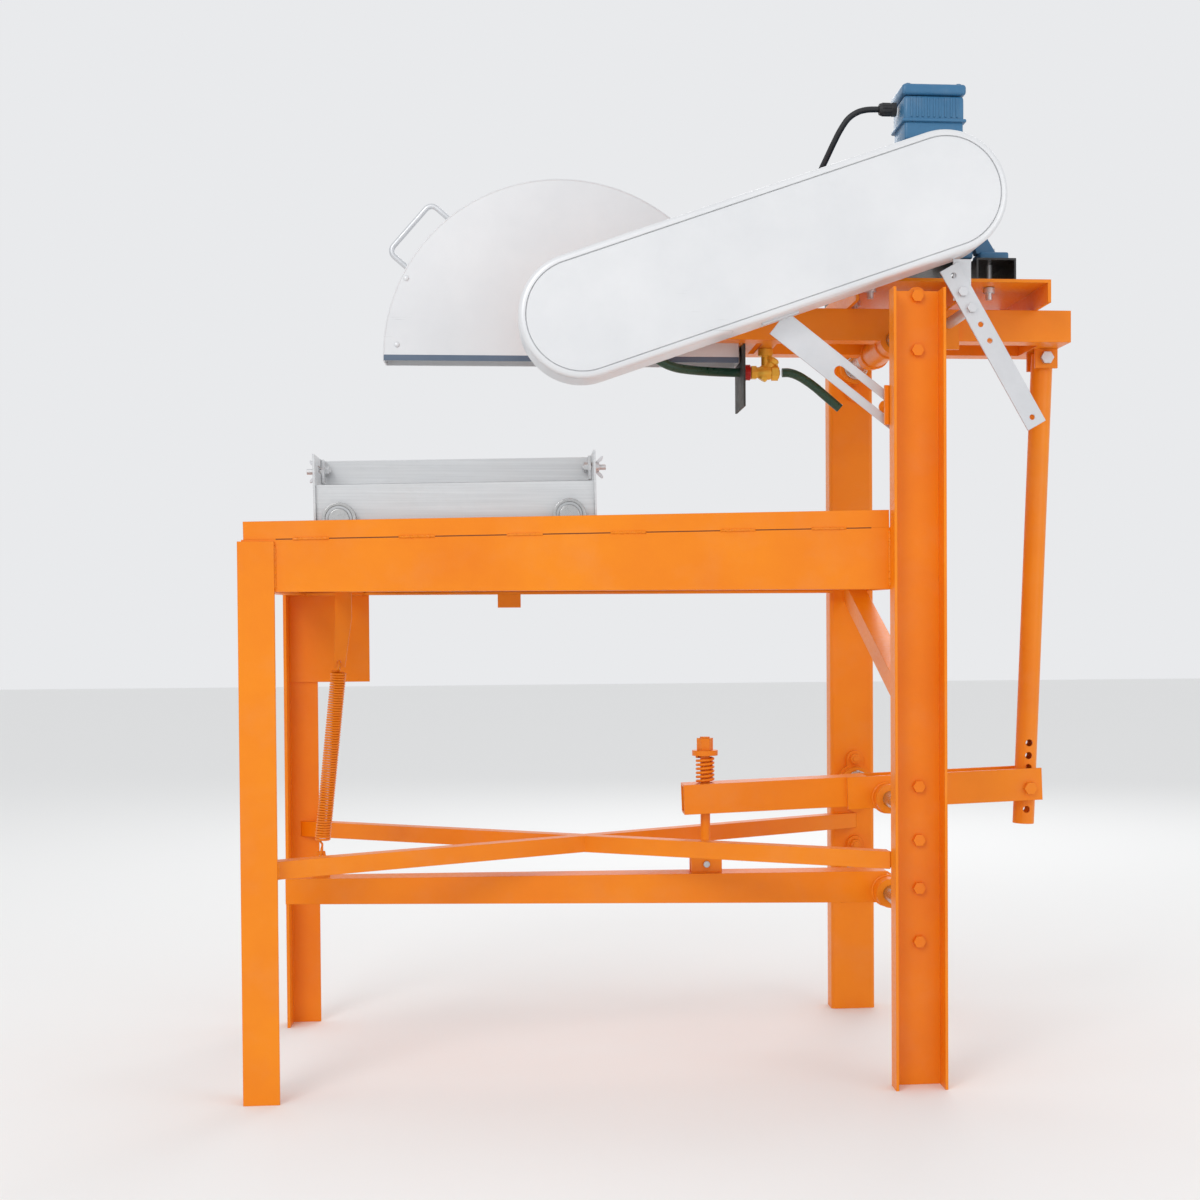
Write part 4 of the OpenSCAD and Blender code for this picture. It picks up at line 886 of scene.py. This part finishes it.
shield_back = lathe("shield", [(0, 0), (0.0835, 0), (0.0835, 0.017), (0, 0.017)],
                    (axis_at.x, high.y - 0.017, axis_at.z), (0, 1, 0), 64)
motor_parts = [barrel, shield_front, shield_back]
for k in range(4):
    a = math.radians(45 + 90 * k)
    at = (axis_at.x + 0.074 * math.cos(a), axis_at.z + 0.074 * math.sin(a))
    lug = lathe("lug", [(0, 0), (0.009, 0), (0.010, 0.001), (0.010, 0.018), (0, 0.018)],
                (at[0], low.y + 0.010, at[1]), (0, 1, 0), 20)
    motor_parts += [lug, hexagon(at, 0.010, low.y + 0.005, low.y + 0.0105)]
foot_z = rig.box("motor_rails")[1].z
FOOT_ROWS = (-0.127, 0.005)
for x in (-0.097, 0.091):
    for y in FOOT_ROWS:
        foot = block("foot", (head.x + 0.0485 + x - 0.020, y - 0.024, foot_z),
                     (head.x + 0.0485 + x + 0.024, y + 0.024, foot_z + 0.013), 0.003, 3)
        motor_parts.append(foot)
for y in FOOT_ROWS:
    for s in (-1, 1):
        web = prism("web", [(axis_at.x + s * 0.070, foot_z + 0.012),
                            (axis_at.x + s * 0.100, foot_z + 0.012),
                            (axis_at.x + s * 0.076, foot_z + 0.052),
                            (axis_at.x + s * 0.060, foot_z + 0.040)],
                    y - 0.010, y + 0.010)
        motor_parts.append(web)
motor_parts.append(block("sole", (axis_at.x - 0.062, -0.147, foot_z + 0.003),
                         (axis_at.x + 0.062, 0.025, foot_z + 0.018), 0.003))
motor = join("motor_casing", motor_parts)
place(motor, "head", "motor_paint", ["motor_body"])
print("motor", len(motor.data.polygons), "faces")

# %% Fan cover
low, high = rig.box("motor_fan_cover")
R = 0.088
shell = lathe("shell", [(R - 0.002, 0), (R, 0), (R, 0.058), (R - 0.003, 0.067), (R - 0.010, 0.0725),
                        (R - 0.018, high.y - low.y),
                        (R - 0.024, high.y - low.y), (R - 0.024, high.y - low.y - 0.002),
                        (R - 0.018, high.y - low.y - 0.002),
                        (R - 0.012, 0.070), (R - 0.005, 0.065), (R - 0.002, 0.057)],
              (axis_at.x, low.y, axis_at.z), (0, 1, 0), 72)
cover_parts = [shell]
plane = high.y - 0.0012
for radius in (0.012, 0.022, 0.032, 0.042, 0.052, 0.062):
    ring = [(axis_at.x + radius * math.cos(a), plane, axis_at.z + radius * math.sin(a))
            for a in (2 * math.pi * k / 56 for k in range(57))]
    cover_parts.append(sweep("ring", ring, 0.0011, 8))
for k in range(6):
    a = math.pi * k / 3
    arm = Vector((math.cos(a), 0, math.sin(a)))
    cover_parts.append(sweep("spoke", [Vector((axis_at.x, plane, axis_at.z)) + arm * r for r in (0.004,
        0.035, 0.066)], 0.0014, 8))
cover_parts.append(lathe("cap", [(0, 0), (0.012, 0), (0.011, 0.0016), (0, 0.0018)],
                         (axis_at.x, plane - 0.001, axis_at.z), (0, 1, 0), 28))
fan_cover = join("fan_cover_grille", cover_parts)
place(fan_cover, "head", "motor_paint", ["motor_fan_cover"])
blades = [lathe("hub", [(0, 0), (0.020, 0), (0.020, 0.020), (0, 0.020)],
                (axis_at.x, high.y - 0.040, axis_at.z), (0, 1, 0), 28)]
for k in range(9):
    a = 2 * math.pi * k / 9
    u, v = Vector((math.cos(a), 0, math.sin(a))), Vector((-math.sin(a), 0, math.cos(a)))
    corners = [Vector((axis_at.x, y, axis_at.z)) + u * r + v * t for y in (high.y - 0.040,
        high.y - 0.018)
               for r in (0.018, 0.072) for t in (-0.001, 0.001)]
    blades.append(make_piece("blade", corners,
                             [(0, 1, 3, 2), (4, 6, 7, 5), (0, 4, 5, 1), (2, 3, 7, 6), (0, 2, 6, 4),
                              (1, 5, 7, 3)]))
fan = join("cooling_fan", blades)
place(fan, "motor_rotor", "black_plastic")
print("fan cover done")

# %% Terminal box and gland
low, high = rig.box("terminal_box")
lid_z = high.z - 0.018
box_parts = [block("pedestal", (low.x + 0.004, low.y + 0.004, low.z),
                   (high.x - 0.004, high.y - 0.004, low.z + 0.028), 0.004, 3),
             block("box", (low.x + 0.003, low.y + 0.003, low.z + 0.026),
                   (high.x - 0.003, high.y - 0.003, lid_z - 0.001), 0.005, 3),
             block("lower_flange", (low.x, low.y, low.z + 0.026), (high.x, high.y, low.z + 0.031),
                   0.002, 2),
             block("lid", (low.x, low.y, lid_z), (high.x, high.y, high.z - 0.002), 0.005, 4)]
for x in (low.x + 0.010, high.x - 0.010):
    for y in (low.y + 0.010, high.y - 0.010):
        box_parts.append(lathe("screw", [(0, -0.001), (0.0042, 0), (0.0042, 0.0014), (0.0032, 0.002),
            (0, 0.002)], (x, y, high.z - 0.002), (0, 0, 1), 18))
for x in np.linspace(low.x + 0.014, high.x - 0.014, 9):
    box_parts.append(block("rib", (x - 0.0015, low.y + 0.0014, low.z + 0.033),
                           (x + 0.0015, low.y + 0.006, lid_z - 0.004), 0.0006, 1))
terminal_box = join("terminal_box_casting", box_parts)
place(terminal_box, "head", "motor_paint", ["terminal_box"])
low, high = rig.box("cable_gland")
at = (low + high) / 2
gland_parts = [hexagon((at.y, at.z), 0.0185, high.x - 0.008, high.x - 0.001, "x"),
               lathe("dome", [(0.0058, 0.001), (0.0082, 0.0012), (0.0092, 0.004), (0.0095, 0.012),
                              (0.0095, 0.020), (0.0062, 0.020)],
                     (low.x, at.y, at.z), (1, 0, 0), 32)]
for k in range(12):
    a = 2 * math.pi * k / 12
    gland_parts.append(sweep("grip", [(low.x + x, at.y + 0.0095 * math.cos(a),
        at.z + 0.0095 * math.sin(a)) for x in (0.006, 0.012, 0.018)], 0.0008, 6))
gland = join("gland_nut", gland_parts)
place(gland, "head", "black_plastic", ["cable_gland"])
print("terminal box done")

# %% [markdown]
# ## Switch box
# The buttons sit in shrouded bezels on the far side of the arm, where the operator's
# hand reaches round. The supply socket in front of it is a plain round inlet with
# three flat pins, and the motor cable enters through a nut behind.

# %% Switch box
low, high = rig.box("switch_box")
case_low = Vector((head.x - 0.344, low.y, low.z))
case_high = Vector((head.x - 0.264, high.y, high.z))
case = block("case", case_low, case_high - Vector((0, 0.002, 0)), 0.005, 3)
button_x = head.x - 0.304
switch_parts = [case]
for dz in (0.028, 0.062):
    switch_parts.append(lathe("bezel", [(0.0118, 0), (0.0150, 0), (0.0150, 0.0015), (0.0135, 0.0020),
        (0.0118, 0.0020)],
                              (button_x, case_high.y - 0.0022, case_low.z + dz), (0, 1, 0), 40))
inlet_at = Vector((case_low.x, 0.078, case_low.z + 0.030))
switch_parts.append(lathe("shroud", [(0.0142, 0), (0.0168, 0), (0.0168, 0.015), (0.0155, 0.016),
    (0.0142, 0.016)], inlet_at, (-1, 0, 0), 40))
switch_parts.append(lathe("inlet_floor", [(0, 0), (0.0145, 0), (0.0145, 0.002), (0, 0.002)], inlet_at,
                          (-1, 0, 0), 40))
entry_at = Vector((case_high.x, 0.078, case_low.z + 0.050))
switch_parts.append(lathe("entry", [(0.0052, 0), (0.0098, 0), (0.0098, 0.009), (0.0082, 0.013),
    (0.0052, 0.014)], entry_at, (1, 0, 0), 32))
for x in (case_low.x + 0.008, case_high.x - 0.008):
    for z in (case_low.z + 0.008, case_high.z - 0.008):
        switch_parts.append(lathe("screw", [(0, -0.002), (0.0030, 0), (0.0030, 0.0008), (0, 0.0012)],
                                  (x, case_high.y - 0.0022, z), (0, 1, 0), 16))
switch = join("switch_case", switch_parts)
place(switch, "head", "switch_plastic", ["switch_box"])
pins = join("inlet_pins", [block("pin", inlet_at + Vector((-0.013, y - 0.001, z - 0.0028)),
                                 inlet_at + Vector((-0.001, y + 0.001, z + 0.0028)), 0.0004, 1)
                           for y, z in ((-0.006, -0.003), (0.006, -0.003), (0, 0.006))])
place(pins, "head", "bright_steel", material=contact_pin)
for name, finish, dz, tall in (("start_button", "green_plastic", 0.028, 0.004),
                               ("stop_button", "red_plastic", 0.062, 0.006)):
    face_y = case_high.y
    cap = lathe(name + "_cap", [(0, -0.009), (0.0108, -0.009), (0.0108, tall - 0.0022),
                                (0.0098, tall - 0.0006), (0.007, tall - 0.0002), (0, tall - 0.0008)],
                (button_x, face_y, case_low.z + dz), (0, 1, 0), 40)
    place(cap, name, finish, [name])
print("switch box done")

# %% [markdown]
# ## Water fittings
# The valve is a brass Y: a through barrel with a sloping branch that carries the
# plug. Hexagon ends take the hoses. A red plastic nut holds the feed hose, and the
# cut supply tail sits on a ribbed nipple.

# %% Water valve
valve = from_head(-184, 0, -38)
parts = [lathe("barrel", [(0.0040, -0.023), (0.0085, -0.023), (0.0085, -0.010), (0.0112, -0.006),
                          (0.0112, 0.006),
                          (0.0090, 0.010), (0.0090, 0.021), (0.0040, 0.021)], valve, (1, 0, 0), 36),
         hexagon((valve.y, valve.z), 0.0195, valve.x - 0.0225, valve.x - 0.0145, "x"),
         hexagon((valve.y, valve.z), 0.0215, valve.x + 0.009, valve.x + 0.0195, "x", math.pi / 6),
         lathe("nipple", [(0.0040, 0.018), (0.0068, 0.018), (0.0070, 0.021), (0.0040, 0.0225)], valve,
               (1, 0, 0), 28),
         lathe("stem", [(0, 0.004), (0.0065, 0.004), (0.0065, 0.024), (0.0115, 0.026),
                        (0.0115, 0.0365), (0, 0.0365)],
               valve, (0, 0, 1), 32)]
rise = Vector((0.50, 0, 0.86)).normalized()
parts += [lathe("branch", [(0, -0.013), (0.0068, -0.013), (0.0080, -0.010), (0.0080, 0.016),
                           (0.0105, 0.018),
                           (0.0105, 0.024), (0.0085, 0.026), (0, 0.026)], valve, rise, 32)]
valve_body = join("valve_casting", parts)
place(valve_body, "head", "brass", ["water_valve"])
ridges = [(0.0125 if k % 2 else 0.0117, -0.024 - 0.0009 * k) for k in range(13)]
hose_nut = lathe("hose_nut", [(0.0074, -0.0235)] + ridges + [(0.0092, -0.0358), (0.0074, -0.0358)],
                 valve, (1, 0, 0), 36)
place(hose_nut, "head", "red_plastic")
print("valve done")

# %% [markdown]
# ## Cart rollers and wing nuts
# Each roller is a sealed ball bearing used as a wheel: an outer race, a dark seal
# set back between the races, and an inner race on the shoulder bolt. The wing nuts
# that clamp the fence have a tapered hub and two raised ears.


# %% Rollers
def bearing_wheel(name, node, body):
    low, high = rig.box(node)
    mid = (low + high) / 2
    w = (high.y - low.y) / 2
    r = (high.z - low.z) / 2
    race = [(r - 0.0045, -w + 0.0004), (r - 0.0008, -w + 0.0002), (r - 0.0001, -w + 0.001),
            (r - 0.0001, w - 0.001),
            (r - 0.0008, w - 0.0002), (r - 0.0045, w - 0.0004)]
    bore = 0.01005
    inner = [(bore, -w + 0.0006), (bore + 0.0005, -w + 0.0002), (bore + 0.0042, -w + 0.0002),
             (bore + 0.0042, w - 0.0002),
             (bore + 0.0005, w - 0.0002), (bore, w - 0.0006)]
    wheel = join(name, [lathe("race", race, mid, (0, 1, 0), 64),
                        lathe("inner", inner, mid, (0, 1, 0), 48)])
    place(wheel, body, "bright_steel", [node])
    seal_r = (bore + 0.0040, r - 0.0043)
    seal = lathe(name + "_seal", [(seal_r[0], -w + 0.0022), (seal_r[0] + 0.0008, -w + 0.0014),
                                  (seal_r[1] - 0.0008, -w + 0.0014), (seal_r[1], -w + 0.0022),
                                  (seal_r[1], w - 0.0022), (seal_r[1] - 0.0008, w - 0.0014),
                                  (seal_r[0] + 0.0008, w - 0.0014), (seal_r[0], w - 0.0022)], mid,
                                  (0, 1, 0), 48)
    place(seal, body, "bright_steel", material=shield_zinc)


for end in ("front", "rear"):
    for side in ("near", "far"):
        bearing_wheel(f"{end}_{side}_bearing", f"roller_{end}_{side}", f"roller_{end}_{side}")
print("rollers done")


# %% Wing nuts
def wing_nut(node, outward):
    low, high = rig.box(node)
    mid = (low + high) / 2
    base_x = low.x if outward > 0 else high.x
    hub = lathe("hub", [(0.0041, 0.0004), (0.0078, 0.0004), (0.0080, 0.002), (0.0066, 0.0080),
                        (0.0041, 0.0080)],
                (base_x, mid.y, mid.z), (outward, 0, 0), 32)
    parts = [hub]
    for s in (-1, 1):
        ear = [(0.0055, 0.002), (0.0085, 0.0035), (0.0128, 0.0075), (0.0162, 0.0115), (0.0160, 0.0136),
               (0.0135, 0.0138),
               (0.0100, 0.0118), (0.0068, 0.0080)]
        outline = [(base_x + outward * h, mid.z + s * r) for r, h in ear]
        parts.append(prism("ear", outline, mid.y - 0.0013, mid.y + 0.0013))
    place(join(node + "_forging", parts), node, "galvanised", [node])


wing_nut("wing_nut_front", -1)
wing_nut("wing_nut_rear", 1)
print("wing nuts done")

# %% [markdown]
# ## Welds
# A hand-laid bead is a row of overlapping ripples. Each bead here is a short sweep
# whose radius swells and shrinks along its run, with a little seeded wander. It is
# painted with the frame, as the real beads are.

# %% Weld beads
rng = np.random.default_rng(7)


def bead(a, b, radius=0.0026):
    a, b = Vector(a), Vector(b)
    ripples = max(3, int((b - a).length / 0.0032))
    count = ripples * 4
    wander = rng.normal(0, 0.00025, (count + 1, 3))
    route = [a.lerp(b, i / count) + Vector(wander[i]) for i in range(count + 1)]
    return sweep("bead", route, radius, 8,
                 swell=lambda i: (0.84 + 0.16 * abs(math.sin(i * math.pi / 4)))
                 * (0.55 if i in (0, count) else 1))


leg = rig.box("front_legs")
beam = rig.box("side_beam_near")
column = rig.box("column_near")
half = -leg[0].y
x0 = leg[0].x
track = lambda x: 0.7844 + (x - x0 - 0.005) * 16 / 908
frame_beads = []
for s in (-1, 1):
    outer = s * (half - 0.005)
    for x in (0.075, 0.22, 0.37, 0.515, 0.67, 0.80):
        frame_beads.append(bead((x0 + x, outer, track(x0 + x)),
                                (x0 + x + 0.05, outer, track(x0 + x + 0.05)), 0.0022))
    frame_beads.append(bead((x0 + 0.050, outer, beam[0].z + 0.004), (x0 + 0.050, outer, 0.776)))
    frame_beads.append(bead((column[0].x, outer, beam[0].z + 0.004),
                            (column[0].x, outer, beam[1].z - 0.004)))
    frame_beads.append(bead((column[0].x - 0.001, s * (half - 0.036), beam[0].z + 0.004),
                            (column[0].x - 0.001, s * (half - 0.010), beam[0].z + 0.004), 0.002))
brace_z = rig.box("cross_braces")
frame_beads.append(bead((x0 + 0.050, -half + 0.006, brace_z[0].z + 0.002),
                        (x0 + 0.050, -half + 0.006, brace_z[1].z)))
frame_beads.append(bead((column[0].x, -half + 0.014, brace_z[0].z + 0.002),
                        (column[0].x, -half + 0.014, brace_z[1].z)))
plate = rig.box("side_plate")
frame_beads.append(bead((plate[0].x + 0.02, plate[0].y, plate[1].z),
                        (plate[1].x - 0.01, plate[0].y, plate[1].z), 0.002))
# A thin dark strip along each rail where it meets the beam is painted shadow, standing for the gap between the stitch
# welds.
seams = []
for s in (-1, 1):
    y = sorted((s * (half - 0.0052), s * (half - 0.00485)))
    outline = [(x0 + x, track(x0 + x) + dz) for x,
               dz in ((0.052, -0.0009), (0.886, -0.0009), (0.886, 0.0006), (0.052, 0.0006))]
    seams.append(prism("seam", outline, *y))
place(join("rail_gap_painted_shadow", seams), "frame", "frame_paint", material=seam_shadow)
frame_welds = join("frame_welds", frame_beads)
place(frame_welds, "frame", "frame_paint")


def ring_bead(at, radius, body_y):
    route = [Vector((at.x + radius * math.cos(a), body_y, at.z + radius * math.sin(a)))
             for a in (2 * math.pi * k / 90 for k in range(91))]
    return sweep("bead", route, 0.0024, 8, swell=lambda i: 0.85 + 0.15 * abs(math.sin(i * 0.9)))


lever_at, pedal_at = joint_at["lever_swing"], joint_at["pedal_press"]
lever_welds = join("lever_welds", [ring_bead(lever_at, 0.0230, s * 0.0322) for s in (-1, 1)])
place(lever_welds, "lever", "frame_paint")
pedal_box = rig.box("pedal")
rod_x = joint_at["rod_pivot"].x
pedal_beads = [ring_bead(pedal_at, 0.0230, s * 0.0262) for s in (-1, 1)]
pedal_beads += [bead((rod_x - 0.023, s * 0.0152, pedal_at.z + 0.0315),
                     (rod_x + 0.023, s * 0.0152, pedal_at.z + 0.0312), 0.002) for s in (-1, 1)]
pedal_beads += [bead((hook_low.x - 0.013, s * 0.0030, pedal_at.z + 0.0345),
                     (hook_low.x + 0.013, s * 0.0030, pedal_at.z + 0.0345), 0.0018) for s in (-1, 1)]
pedal_welds = join("pedal_welds", pedal_beads)
place(pedal_welds, "pedal", "frame_paint")
arm_top = 0.047 + head.z
head_beads = []
for s in (-1, 1):
    head_beads.append(bead((head.x + 0.234, s * 0.058, arm_top), (head.x + 0.234, s * 0.002, arm_top),
                           0.002))
    head_beads.append(ring_bead(head, 0.0215, s * 0.0590))
head_welds = join("head_welds", head_beads)
place(head_welds, "head", "frame_paint")
print("welds", len(frame_beads), "beads on the frame")

# %% [markdown]
# ## Bearing inserts
# Each flange bearing carries a steel insert with a locking collar and a set screw,
# and a grease nipple stands on its boss. They are small, but they show when the
# machine is seen from behind or below.

# %% Bearing inserts
web_y = 0.260
insert_parts, nipple_parts = [], []
for at in (head, lever_at, pedal_at):
    for s in (-1, 1):
        face = Vector((at.x, s * (web_y - 0.028), at.z))
        insert_parts.append(lathe("collar",
                                  [(0.0127, 0), (0.0190, 0), (0.0195, 0.0010), (0.0195, 0.0075),
                                      (0.0185, 0.0085), (0.0127, 0.0085)], face, (0, -s, 0), 44))
        insert_parts.append(lathe("set_screw", [(0, 0), (0.0030, 0), (0.0030, 0.0012), (0, 0.0012)],
                                  (at.x, s * (web_y - 0.0325), at.z + 0.0193), (0, 0, 1), 12))
        nipple_parts.append(lathe("nipple",
                                  [(0, 0), (0.0042, 0), (0.0042, 0.003), (0.0024, 0.0042),
                                      (0.0024, 0.007), (0.0033, 0.009), (0.0018, 0.011), (0, 0.011)],
                                  (at.x + 0.0247, s * (web_y - 0.017), at.z + 0.002), (1, 0, 0.15), 18))
inserts = join("bearing_inserts", insert_parts)
place(inserts, "frame", "bright_steel")
nipples = join("grease_nipples", nipple_parts)
place(nipples, "frame", "bright_steel")
print("inserts done")

# %% [markdown]
# ## The size against the CAD box
# The visual model must stay within the CAD box, so both boxes are written out.

with open("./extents.json", "w") as f:
    json.dump({"cad": cad_box, "visual": [list(corner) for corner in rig.bounds()]}, f)
print("visual box", [list(corner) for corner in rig.bounds()])
